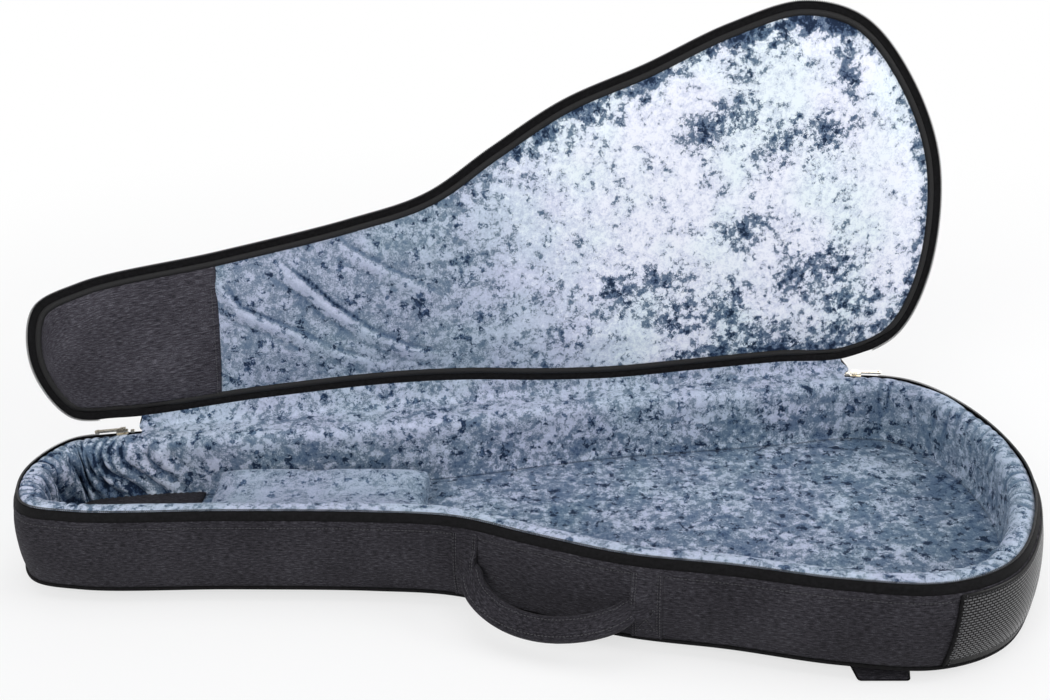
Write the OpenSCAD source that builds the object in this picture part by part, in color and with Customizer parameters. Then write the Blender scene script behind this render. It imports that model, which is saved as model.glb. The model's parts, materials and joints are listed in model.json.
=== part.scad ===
// Padded gig bag for an acoustic guitar, lying on its back with the lid open.
// X runs from the headstock end to the tail, Y towards the hinge side, Z up from the floor.

/* [Bag] */
// Outside length of the bag at the rim
bag_length = 1090; // [1080:1:1100]
// Height of the rim above the floor
rim_z = 107; // [106:1:110]
// Height of the back panel above the floor, which is the thickness of the pads under it
back_z = 10; // [10:0.5:11]
// Thickness of the outer fabric
skin = 1.6; // [1.2:0.1:1.8]
// Thickness of the foam in the floor
floor_foam_t = 20; // [16:1:22]
// Depth of the wall foam, from the rim's outer edge inwards
wall_foam_t = 24; // [22:1:26]
// Thickness of the velvet lining on the walls
velvet_t = 3; // [2:0.5:4]

/* [Lid] */
// Angle of the lid from closed
lid_angle = 95; // [80:1:110]
// Thickness of the closed lid
lid_depth = 28; // [27:1:30]
// Distance of the lid's zip edge inside the rim's outer edge
lid_inset = 8; // [7:0.5:9]
// Gap between the two zip tapes when the lid is closed
zip_gap = 5.5; // [5.3:0.1:6]
// Width of the zip tape on the lid
lid_tape_w = 8; // [6:0.5:9]
// Width of the seam binding inside the lid
lid_binding_w = 7; // [5:0.5:8]

/* [Handle] */
// Distance of the handle's pivot line above the floor
handle_z = 60; // [56:1:66]
// Drop of the handle below its pivot line
handle_drop = 41; // [36:1:44]
// Angle of the resting handle away from the wall
handle_angle = 48; // [44:1:60]
// Width of the padded grip
handle_w = 24; // [20:1:26]
// Half the thickness of the padded grip
handle_t = 7; // [5:0.5:7.5]

/* [Straps] */
// Width of a padded shoulder strap
strap_w = 58; // [50:1:62]
// Width of the strap webbing
webbing_w = 25; // [20:1:28]

/* [Hidden] */

// Air between layers that are sewn or glued together
seam = 0.1;
// Clearance between pieces that move past each other
clear = 0.5;

// Half widths of the rim at stations along the bag: place, front half, rear half
stations = [
    [-520, 72, 72], [-460, 91, 90], [-300, 92, 105], [-150, 96, 123], [-60, 106, 140], [20, 140, 160],
    [110, 175, 179], [210, 195, 193], [310, 219, 207], [400, 226, 222], [470, 193, 204], [520, 112, 132]];
stretch = bag_length / 1090;
last = len(stations) - 1;
rim = concat(
    [[-bag_length / 2, 0]],
    [for (s = stations) [s.x * stretch, -s.y]],
    [[bag_length / 2, 0]],
    [for (i = [last : -1 : 0]) [stations[i].x * stretch, stations[i].z]]);
// Facets in each span between two stations
span_n = 4;

// Line of the fabric hinge along the rear side, halfway up the zip gap
hinge_a = [-444, 96.5, rim_z + zip_gap / 2];
hinge_b = [400, 229, rim_z + zip_gap / 2];
hinge_dir = (hinge_b - hinge_a) / norm(hinge_b - hinge_a);
lid_z = rim_z + zip_gap;

// Colours of the fabrics and fittings
charcoal = [0.17, 0.17, 0.2];
black = [0.05, 0.05, 0.055];
velvet = [0.58, 0.66, 0.78];
foam = [0.3, 0.3, 0.31];
metal = [0.8, 0.74, 0.62];

// Heights of the wall's seams
tape_z = rim_z - 10;
piping_z = back_z + 7;
piping_r = 2.1;
floor_z = back_z + skin + seam;
inner_z = floor_z + floor_foam_t + seam;
foam_top = rim_z - 9;

// Point of a centripetal spline between the two middle points of four
function spline(p, t) =
    let (d0 = sqrt(norm(p[1] - p[0])), d1 = sqrt(norm(p[2] - p[1])), d2 = sqrt(norm(p[3] - p[2])),
        m1 = ((p[1] - p[0]) / d0 - (p[2] - p[0]) / (d0 + d1) + (p[2] - p[1]) / d1) * d1,
        m2 = ((p[2] - p[1]) / d1 - (p[3] - p[1]) / (d1 + d2) + (p[3] - p[2]) / d2) * d1)
    (2 * t ^ 3 - 3 * t ^ 2 + 1) * p[1] + (t ^ 3 - 2 * t ^ 2 + t) * m1
    + (3 * t ^ 2 - 2 * t ^ 3) * p[2] + (t ^ 3 - t ^ 2) * m2;

// Point at parameter t on the closed curve through the points c
function curve(c, t) =
    let (n = len(c), i = floor(t))
    spline([for (k = [-1 : 2]) c[((i + k) % n + n) % n]], t - i);

// Outward normal of the curve
function normal(c, t) =
    let (d = curve(c, t + 0.02) - curve(c, t - 0.02))
    [d.y, -d.x] / norm(d);

// Point inside the curve by the distance d
function inside(c, t, d) = curve(c, t) - d * normal(c, t);

// Closed outline inside the curve by the distance d
function outline(c, d) = [for (i = [0 : len(c) * span_n - 1]) inside(c, i / span_n, d)];

// Stretch of the curve from t0 to t1, inside by d, in steps of one facet
function stretch_of(c, t0, t1, d) =
    let (n = ceil((t1 - t0) * span_n))
    [for (i = [0 : n]) inside(c, t0 + (t1 - t0) * i / n, d)];

// Parameter at which the front or rear side of the rim passes x
function front_t(x, lo = 1, hi = last + 1, n = 16) =
    n == 0 ? (lo + hi) / 2 :
    let (m = (lo + hi) / 2)
    curve(rim, m).x < x ? front_t(x, m, hi, n - 1) : front_t(x, lo, m, n - 1);
function rear_t(x, lo = last + 3, hi = 2 * last + 3, n = 16) =
    n == 0 ? (lo + hi) / 2 :
    let (m = (lo + hi) / 2)
    curve(rim, m).x > x ? rear_t(x, m, hi, n - 1) : rear_t(x, lo, m, n - 1);

function backwards(v) = [for (i = [len(v) - 1 : -1 : 0]) v[i]];
function lift(points, z) = [for (p = points) [p.x, p.y, z]];

// Faces between successive rings of n points
function ring_walls(n, pairs) = [
    for (j = pairs, i = [0 : n - 1])
        let (k = (i + 1) % n)
        each [[j[0] * n + i, j[1] * n + i, j[1] * n + k], [j[0] * n + i, j[1] * n + k, j[0] * n + k]]];

// Faces that close a ring of n points, laid across it from point to opposite point
function cap(n) = [
    for (i = [0 : n / 2 - 2])
        each [[i, i + 1, n - 2 - i], [i, n - 2 - i, n - 1 - i]]];

// Solid through a list of rings, closed by a cap on the first and the last
module loft(rings) {
    n = len(rings[0]);
    m = len(rings);
    top = (m - 1) * n;
    polyhedron([for (r = rings) each r], concat(
        cap(n), [for (f = cap(n)) [top + f[2], top + f[1], top + f[0]]],
        ring_walls(n, [for (j = [0 : m - 2]) [j, j + 1]])));
}

// Solid through outlines of the curve c, given as insets and heights
module shell(c, profile) loft([for (s = profile) lift(outline(c, s[0]), s[1])]);

// Closed band round the curve c with a section of insets and heights, outer side upwards first
module band(c, section) {
    rings = [for (s = section) lift(outline(c, s[0]), s[1])];
    m = len(rings);
    polyhedron([for (r = rings) each r], ring_walls(len(rings[0]), [for (j = [0 : m - 1]) [j, (j + 1) % m]]));
}

// Point on the flat facet of the outline at parameter t
function on_facet(c, t, d) =
    let (a = floor(t * span_n) / span_n, f = (t - a) * span_n)
    (1 - f) * inside(c, a, d) + f * inside(c, a + 1 / span_n, d);

// Strip with such a section from t0 to t1, bent at the outline's facets.
// Its ends lean by the given parameter per millimetre above or below the height mid.
module strip(c, t0, t1, section, lean0 = 0, lean1 = 0, mid = 0) {
    inner = [for (i = [floor(t0 * span_n) + 1 : ceil(t1 * span_n) - 1]) [i / span_n, 0]];
    columns = concat([[t0, lean0]], inner, [[t1, lean1]]);
    loft([for (col = columns)
        [for (s = backwards(section))
            let (p = on_facet(c, col[0] + col[1] * (s[1] - mid), s[0]))
            [p.x, p.y, s[1]]]]);
}

// Round section of a piping
function cord_section(d, z, r, n) = [for (i = [0 : n - 1]) [d - r * cos(360 * i / n), z + r * sin(360 * i / n)]];

// Flat frame between two insets of a curve
module frame(c, outer, inner, z, h) translate([0, 0, z]) linear_extrude(h) difference() {
    polygon(outline(c, outer));
    polygon(outline(c, inner));
}

// Flat ribbon along a stretch of the curve between two insets
module ribbon(c, t0, t1, outer, inner, z, h) {
    translate([0, 0, z]) linear_extrude(h)
        polygon(concat(stretch_of(c, t0, t1, outer), backwards(stretch_of(c, t0, t1, inner))));
}

// Turns the closed lid about the hinge line to where it stands open
module opened() translate(hinge_a) rotate(-lid_angle, hinge_dir) translate(-hinge_a) children();

// Places a piece at a point of the rim, with its X along the rim
module at_rim(t, d, z) {
    p = inside(rim, t, d);
    n = normal(rim, t);
    translate([p.x, p.y, z]) rotate(atan2(n.x, -n.y)) children();
}

// Base

// Insets of the outer wall from the bottom seam to the tape: fuller in the middle, drawn in at the rim
wall = [[-1, piping_z + 2.2], [-6, 45], [-5, 74], [0, tape_z - seam]];
function wall_outside(d) = [for (s = wall) [s[0] + d, s[1]]];

module back_panel() color(charcoal) shell(rim, [
    [26, back_z], [12, back_z + 0.6], [4, back_z + 2.4], [0, piping_z - 2.2],
    [skin, piping_z - 2.2], [4 + skin, back_z + 3.6], [12.6, back_z + 2.2], [26, back_z + skin]]);

module base_gusset() color(charcoal) band(rim, concat(wall_outside(0), backwards(wall_outside(skin))));

module bottom_piping() color(black) band(rim, cord_section(-1, piping_z, piping_r, 5));

// The bumper wraps the tail end, and its two ends lean forwards towards the floor
bumper_front = front_t(409);
bumper_rear = rear_t(409);
bumper_lean = 0.0018;
wall_mid = (piping_z + tape_z) / 2;
// Width of the bumper's piping, as a stretch of the rim's parameter
piping_t = 0.045;
// Section of a layer of the given thickness sewn on the outside of the wall, clear of its twisted facets
lap = 0.4;
function on_wall(t) = concat(wall_outside(-t), backwards(wall_outside(-lap)));
module end_bumper() color(black)
    strip(rim, bumper_front, bumper_rear, on_wall(1.8), bumper_lean, -bumper_lean, wall_mid);
module bumper_piping() color(black)
    for (e = [[bumper_front - piping_t - 0.001, bumper_lean], [bumper_rear + 0.001, -bumper_lean]])
        strip(rim, e[0], e[0] + piping_t, on_wall(3.2), e[1], e[1], wall_mid);

module base_floor_foam() color(foam) translate([0, 0, floor_z]) linear_extrude(floor_foam_t)
    polygon(outline(rim, wall_foam_t + 3.5));

module base_wall_foam() color(foam) band(rim, concat(
    [[wall_foam_t + 3.4, floor_z], [12.8, back_z + 2.4], [6, back_z + 4], [skin + 1.5, piping_z - 2]],
    wall_outside(skin + seam), [[skin + 1.5, foam_top], [wall_foam_t, foam_top], [wall_foam_t, inner_z],
    [wall_foam_t + 3.4, inner_z]]));

// Plump velvet roll over the top of the wall foam and down its inner side
module wall_lining() color(velvet) band(rim, [
    [wall_foam_t + seam, inner_z + seam], [wall_foam_t + seam, foam_top + seam], [5.6, foam_top + seam],
    [5.6, rim_z - 6], [8, rim_z - 2.6], [14, rim_z - 1], [22, rim_z - 2.6], [wall_foam_t + velvet_t + 1, rim_z - 9],
    [wall_foam_t + velvet_t + 1.5, 70], [wall_foam_t + velvet_t, inner_z + seam]]);

module floor_lining() color(velvet) translate([0, 0, inner_z]) linear_extrude(2)
    polygon(outline(rim, wall_foam_t + velvet_t + 2));

floor_top = inner_z + 2;

module headstock_floor_pad() color(charcoal) translate([0, 0, floor_top + seam]) linear_extrude(6) intersection() {
    polygon(outline(rim, wall_foam_t + velvet_t + 4));
    translate([-bag_length / 2, -150]) square([bag_length / 2 - 366, 300]);
}

// Neck cradle: a foam block across the neck part with a shallow trough for the neck
cradle_x = [-350, -96];
cradle_h = 44;
module cradle_block(d) translate([cradle_x[0] + d, 0, floor_top + seam + d]) rotate([90, 0, 90])
    linear_extrude(cradle_x[1] - cradle_x[0] - 2 * d) difference() {
        hull() {
            translate([-58 + d, 0]) square([128 - 2 * d, 4]);
            for (y = [-46, 58]) translate([y, cradle_h - 12 - 2 * d]) circle(12 - d, $fn = 32);
        }
        translate([2, cradle_h + 66 - 2 * d]) circle(72, $fn = 96);
    }
module cradle_foam() color(foam) cradle_block(2.1);
module cradle_cover() color(velvet) difference() {
    cradle_block(0);
    cradle_block(2);
}

module zipper_tape_base() color(black) band(rim, [[0, tape_z], [3.6, rim_z], [4.8, rim_z], [1.2, tape_z]]);

// The coil runs round the front between the two sliders
coil_start = rear_t(-486) - len(rim);
coil_end = rear_t(434);
coil_h = 1.4;
module zipper_coil_base() color(black) ribbon(rim, coil_start, coil_end, 3.7, 6.2, rim_z + seam, coil_h);

slider_left_t = rear_t(-460);
slider_right_t = rear_t(406);
module zip_stops() color(metal) for (x = [-449, 396])
    at_rim(rear_t(x), 4.2, rim_z + seam) translate([-2, -2, 0]) cube([4, 4, 3]);

module handle_band(x0, x1) color(charcoal) strip(rim, front_t(x0), front_t(x1), on_wall(1.8));
module handle_band_left() handle_band(-62, -34);
module handle_band_right() handle_band(116, 147);

// Handle: an oval grip on a hanging curve between two points of its pivot line
handle_out = 13;
// The grip hangs lowest a little towards the headstock
handle_skew = 0.85;
handle_p = concat(inside(rim, front_t(-36), -handle_out), handle_z);
handle_q = concat(inside(rim, front_t(118), -handle_out), handle_z);
handle_u = (handle_q - handle_p) / norm(handle_q - handle_p);
handle_n = [handle_u.y, -handle_u.x, 0];
handle_down = -cos(handle_angle) * [0, 0, 1] + sin(handle_angle) * handle_n;
handle_side = cross(handle_u, handle_down);
handle_n_rings = 18;
handle_sides = 12;
function handle_point(f) = handle_p + f * (handle_q - handle_p) + handle_drop * sin(180 * f ^ handle_skew) ^ 0.6 * handle_down;
function handle_tangent(f) =
    let (a = handle_point(min(f + 0.01, 1)), b = handle_point(max(f - 0.01, 0)))
    (a - b) / norm(a - b);
module carry_handle() color(charcoal) loft([for (i = [0 : handle_n_rings])
    let (f = 0.5 - 0.5 * cos(180 * i / handle_n_rings), c = handle_point(f), v = cross(handle_side, handle_tangent(f)))
    let (fat = sin(180 * f) ^ 0.5)
    [for (k = [handle_sides - 1 : -1 : 0])
        c + handle_t * (0.7 + 0.3 * fat) * cos(360 * k / handle_sides) * handle_side
        + handle_w / 2 * (0.75 + 0.25 * fat) * sin(360 * k / handle_sides) * v]]);

// Fabric hinge: one leaf sewn on the base's rear rim, one on the lid, folded at the hinge line
hinge_leaf_t = 1.2;
module hinge_leaf(d, z) translate([0, 0, z]) linear_extrude(hinge_leaf_t) polygon(concat(
    [[hinge_b.x, hinge_b.y], [hinge_a.x, hinge_a.y]], backwards(stretch_of(rim, rear_t(392), rear_t(-438), d))));
module hinge_strip() color(black) {
    hinge_leaf(5, rim_z + seam);
    opened() hinge_leaf(13, lid_z - seam - hinge_leaf_t);
    translate(hinge_a) rotate([90, 0, atan2(hinge_dir.y, hinge_dir.x) + 90])
        cylinder(norm(hinge_b - hinge_a), r = 1.7, $fn = 24);
}

// Back

// Padded panel that the bag lies on, between the two shoulder straps
module back_pad() color(black) linear_extrude(back_z - seam)
    polygon([[-22, -8], [-12, -14], [330, -112], [344, -98], [344, 98], [330, 112], [-12, 14], [-22, 8]]);

module strap_yoke() color(charcoal) linear_extrude(back_z - seam)
    polygon([[-190, -34], [-178, -46], [-52, -80], [-40, -74], [-40, 74], [-52, 80], [-178, 46], [-190, 34]]);

// Straps lie flat beside the back pad, from the yoke to the anchors
strap_start = [-34, 46];
strap_end = [262, 150];
strap_dir = (strap_end - strap_start) / norm(strap_end - strap_start);
strap_turn = atan2(strap_dir.y, strap_dir.x);
strap_length = norm(strap_end - strap_start);
strap_low = 0.4;
strap_t = 8.8;
ring_at = [342, 179];
ring_turn = atan2(ring_at.y - strap_end.y, ring_at.x - strap_end.x);
webbing_length = norm(ring_at - strap_end);

// Puts the strap of one side in place, with X along it
module on_strap(side) mirror([0, side < 0 ? 1 : 0, 0]) translate([strap_start.x, strap_start.y, strap_low])
    rotate(strap_turn) children();
module on_webbing(side) mirror([0, side < 0 ? 1 : 0, 0]) translate([strap_end.x, strap_end.y, strap_low])
    rotate(ring_turn) children();

module shoulder_strap(side) color(black) on_strap(side) linear_extrude(strap_t) polygon([
    [16, -strap_w / 2 + 6], [strap_length - 40, -strap_w / 2], [strap_length - 10, -webbing_w / 2 - 4],
    [strap_length, -webbing_w / 2], [strap_length, webbing_w / 2], [strap_length - 10, webbing_w / 2 + 4],
    [strap_length - 40, strap_w / 2], [10, strap_w / 2 - 6]]);
module shoulder_strap_front() shoulder_strap(-1);
module shoulder_strap_rear() shoulder_strap(1);

// Flat plate with round corners, from the origin along X and across Y
module plate(l, w, r) {
    translate([r, -w / 2]) square([l - 2 * r, w]);
    translate([0, r - w / 2]) square([l, w - 2 * r]);
    for (x = [r, l - r], y = [r - w / 2, w / 2 - r]) translate([x, y]) circle(r, $fn = 24);
}

// Ladder lock: a frame with two slots for the webbing and a lip to tilt it by
lock_length = 22;
lock_w = webbing_w + 8;
module ladder_lock(side) color(black) on_webbing(side) translate([1, 0, 1]) {
    linear_extrude(4) difference() {
        plate(lock_length, lock_w, 2.5);
        for (x = [5, 14]) translate([x, 0]) plate(3.2, webbing_w + 1, 1);
    }
    translate([1.8, -lock_w / 2 + 3, 4]) rotate([-90, 0, 0]) cylinder(lock_w - 6, r = 1.5, $fn = 24);
}
module ladder_lock_front() ladder_lock(-1);
module ladder_lock_rear() ladder_lock(1);

hook_length = 26;
module strap_webbing(side) color(black) on_webbing(side)
    translate([lock_length + 1 + seam, -webbing_w / 2, 2])
        cube([webbing_length - lock_length - hook_length - 1, webbing_w, 1.6]);
module strap_webbing_front() strap_webbing(-1);
module strap_webbing_rear() strap_webbing(1);

// Flat hook whose round-edged peg stands up in the ring of the anchor tab
module strap_hook(side) color(black) on_webbing(side) {
    translate([webbing_length - hook_length + 2 * seam, 0, 0]) linear_extrude(1.9) difference() {
        plate(hook_length, webbing_w + 4, 4);
        translate([8, 0]) plate(8, webbing_w - 8, 2);
    }
    translate([webbing_length - 5, 0, 1.8]) linear_extrude(3.5) plate(4, webbing_w - 10, 1.8);
}
module strap_hook_front() strap_hook(-1);
module strap_hook_rear() strap_hook(1);

// Rectangular metal ring in the fold of each anchor tab
ring_x = webbing_length - 10;
ring_l = 18;
ring_w = webbing_w + 4;
ring_z = 2.8;
module anchor_rings() color(metal) for (side = [-1, 1]) on_webbing(side)
    translate([ring_x, 0, ring_z]) linear_extrude(2) difference() {
        plate(ring_l, ring_w, 4);
        translate([3, 0]) plate(ring_l - 6, ring_w - 6, 1.5);
    }

// Anchor tab: a folded wedge of fabric that comes out from under the lower edge.
// A loop of it passes through the ring, and its underside is hollow over the hook.
tab_x = [319, 384];
tab_y = 170;
tab_out = 226;
tab_bevel = 9;
module strap_anchor(side) color(charcoal) difference() {
    hull() {
        translate([tab_x[0], side * tab_y - (side < 0 ? 6 : 0), 0]) cube([tab_x[1] - tab_x[0], 6, back_z - seam]);
        translate([tab_x[0] + tab_bevel, side * tab_out - (side > 0 ? 2 : 0), 0])
            cube([tab_x[1] - tab_x[0] - 2 * tab_bevel, 2, 3]);
    }
    on_webbing(side) {
        translate([webbing_length - hook_length - 4, -ring_w / 2 - 0.8, -2])
            cube([hook_length + 6, ring_w + 1.6, 7.8]);
        difference() {
            translate([ring_x, -ring_w / 2 - 0.8, ring_z - 0.4]) cube([ring_l + 0.4, ring_w + 1.6, 2.8]);
            translate([ring_x, -ring_w / 2 + 5, 0]) cube([ring_l - 3.4, ring_w - 10, 9]);
        }
    }
}
module strap_anchor_front() strap_anchor(-1);
module strap_anchor_rear() strap_anchor(1);

// Zip sliders and pulls of the rim

slider_h = 4.4;
pull_l = 32;
pull_w = 7;
pull_t = 1.8;
pull_bar_r = 1;

// Slider: two shield-shaped plates joined by a wedge, with a bar on its outer side that carries the pull.
// Its wide end, towards X, faces the coil that it closes.
slider_shield = [[-6.5, 1.6], [-5, 0.4], [4, -1], [6, -0.4], [6.5, 1.4], [6.5, 5.6], [6, 7.4], [4, 8], [-5, 6.6], [-6.5, 5.4]];
module slider_body() {
    for (z = [0, slider_h - 1.2]) translate([0, 0, z]) linear_extrude(1.2) polygon(slider_shield);
    translate([0, 0, 1]) linear_extrude(slider_h - 2) polygon([[-2, 3.5], [5.6, 1.2], [5.6, 5.8]]);
    for (z = [0, slider_h - 1.2]) translate([-3, -5, z]) cube([6, 5, 1.2]);
    translate([0, -3, 0]) cylinder(slider_h, r = pull_bar_r, $fn = 24);
}
module pull_tab() {
    difference() {
        union() {
            cylinder(pull_t, r = pull_w / 2 - 0.8, $fn = 32);
            translate([0, -pull_w / 2 + 0.8, 0]) cube([pull_l - pull_w / 2, pull_w - 1.6, pull_t]);
            translate([pull_l - pull_w / 2, 0, 0]) cylinder(pull_t, r = pull_w / 2, $fn = 32);
        }
        translate([0, 0, -1]) cylinder(pull_t + 2, r = pull_bar_r + 0.08, $fn = 24);
        translate([pull_l - pull_w / 2, 0, -1]) cylinder(pull_t + 2, r = 1.6, $fn = 24);
    }
}
slider_z = rim_z + clear;
pull_z = slider_z + (slider_h - pull_t) / 2;
module zip_slider(t, turned) color(metal) at_rim(t, 3, slider_z) mirror([turned, 0, 0]) slider_body();
module zip_slider_left() zip_slider(slider_left_t, 0);
module zip_slider_right() zip_slider(slider_right_t, 1);
// The pulls lie back along the rim, away from the hinge
module zip_pull(t, turn) color(metal) at_rim(t, 3, pull_z) translate([0, -3, 0]) rotate(turn) pull_tab();
module zip_pull_left() zip_pull(slider_left_t, 0);
module zip_pull_right() zip_pull(slider_right_t, 180);

// Lid, drawn closed and then opened

lid_edge = lid_inset + lid_tape_w;
lid_panel = lid_edge + lid_binding_w;
// Insets of the lid's outer face from the zip edge to the crown
lid_wall = [[lid_inset, 1.3], [lid_inset + 1.5, 8], [lid_inset + 6, 17], [lid_inset + 16, lid_depth - 3],
    [lid_inset + 36, lid_depth]];
// The same face moved inwards, by d at the sides and by drop at the crown
function lid_inside(d, drop) = [for (i = [1 : len(lid_wall) - 1])
    [lid_wall[i][0] + d * (i < 3 ? 1 : 0.5), lid_wall[i][1] - drop * (i < 2 ? 0 : i < 3 ? 0.4 : 1)]];
module lid_shell() color(charcoal) opened() translate([0, 0, lid_z]) shell(rim, concat(
    backwards(lid_inside(skin, skin)), [[lid_inset + skin, 3.9], [lid_edge, 3.9], [lid_edge, 1.3]], lid_wall));

module lid_foam() color(foam) opened() translate([0, 0, lid_z]) shell(rim, concat(
    [[lid_inset + skin + 0.8, 4]], lid_inside(skin + seam, skin + seam)));

// Edge between the headstock patch and the velvet, slightly bowed towards the body
patch_edge = [[-300, -120], [-316, -40], [-326, 10], [-337, 60], [-352, 120]];
module headstock_side() polygon(concat(patch_edge, [[-700, 120], [-700, -120]]));

module lid_lining() color(velvet) opened() translate([0, 0, lid_z + 1.4]) linear_extrude(2.5) difference() {
    polygon(outline(rim, lid_panel + seam));
    translate([seam, 0]) headstock_side();
}
module lid_headstock_patch() color(charcoal) opened() translate([0, 0, lid_z + 0.6]) linear_extrude(3.3) intersection() {
    polygon(outline(rim, lid_panel + seam));
    headstock_side();
}
module lid_seam_binding() color(black) opened() frame(rim, lid_edge + seam, lid_panel, lid_z + 0.2, 3.7);
module zipper_tape_lid() color(black) opened() frame(rim, lid_inset, lid_edge, lid_z, 1.2);
module zipper_coil_lid() color(black) opened()
    ribbon(rim, coil_start, coil_end, lid_inset - 2, lid_inset + 0.5, lid_z - seam - coil_h, coil_h);

// Accessory pocket on the outer face of the lid, with its zip across the upper end
pocket = [[-40, 0], [-32, -62], [60, -98], [200, -128], [330, -152], [410, -142], [452, -80], [462, 0],
    [452, 80], [410, 142], [330, 152], [200, 128], [60, 98], [-32, 62]];
pocket_h = 12;
pocket_z = lid_z + lid_depth + seam;
pocket_zip_x = 10;
pocket_zip_l = 130;
module pocket_body() color(charcoal) opened() shell(pocket, [
    [0, pocket_z], [1, pocket_z + 6], [6, pocket_z + 10], [16, pocket_z + pocket_h]]);
module pocket_zip_tape() color(black) opened()
    translate([pocket_zip_x - 12, -pocket_zip_l / 2, pocket_z + pocket_h + seam]) cube([24, pocket_zip_l, 1]);
pocket_slider_z = pocket_z + pocket_h + 1 + clear;
pocket_slider_y = -pocket_zip_l / 2 + 10;
// Stands on the tape, with its bar across the zip
module pocket_slider() color(metal) opened() translate([pocket_zip_x, pocket_slider_y, pocket_slider_z]) {
    rotate(90) translate([0, -3.5, 0]) linear_extrude(2) polygon(slider_shield);
    for (x = [-4, 2.6]) translate([x, -2, 1.5]) cube([1.4, 4, 3.5]);
    translate([-4, 0, 3.8]) rotate([0, 90, 0]) cylinder(8, r = pull_bar_r, $fn = 24);
}
module pocket_pull() color(metal) opened() translate([pocket_zip_x, pocket_slider_y, pocket_slider_z + 3.8])
    rotate([0, 0, 90]) rotate([90, 0, 0]) translate([0, 0, -2]) difference() {
        union() {
            cylinder(4, r = 1.8, $fn = 24);
            translate([0, -1, 0]) cube([26, 2, 4]);
        }
        translate([0, 0, -1]) cylinder(6, r = pull_bar_r + 0.08, $fn = 24);
    }

back_panel();
base_gusset();
bottom_piping();
end_bumper();
bumper_piping();
base_floor_foam();
base_wall_foam();
wall_lining();
floor_lining();
headstock_floor_pad();
cradle_foam();
cradle_cover();
zipper_tape_base();
zipper_coil_base();
zip_stops();
handle_band_left();
handle_band_right();
carry_handle();
hinge_strip();
back_pad();
strap_yoke();
strap_anchor_front();
strap_anchor_rear();
anchor_rings();
shoulder_strap_front();
shoulder_strap_rear();
strap_webbing_front();
strap_webbing_rear();
ladder_lock_front();
ladder_lock_rear();
strap_hook_front();
strap_hook_rear();
zip_slider_left();
zip_slider_right();
zip_pull_left();
zip_pull_right();
lid_shell();
lid_foam();
lid_lining();
lid_headstock_patch();
lid_seam_binding();
zipper_tape_lid();
zipper_coil_lid();
pocket_body();
pocket_zip_tape();
pocket_slider();
pocket_pull();
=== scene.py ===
"""Padded gig bag lying open on its back: its looks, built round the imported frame, in metres."""

import json
import math

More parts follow.
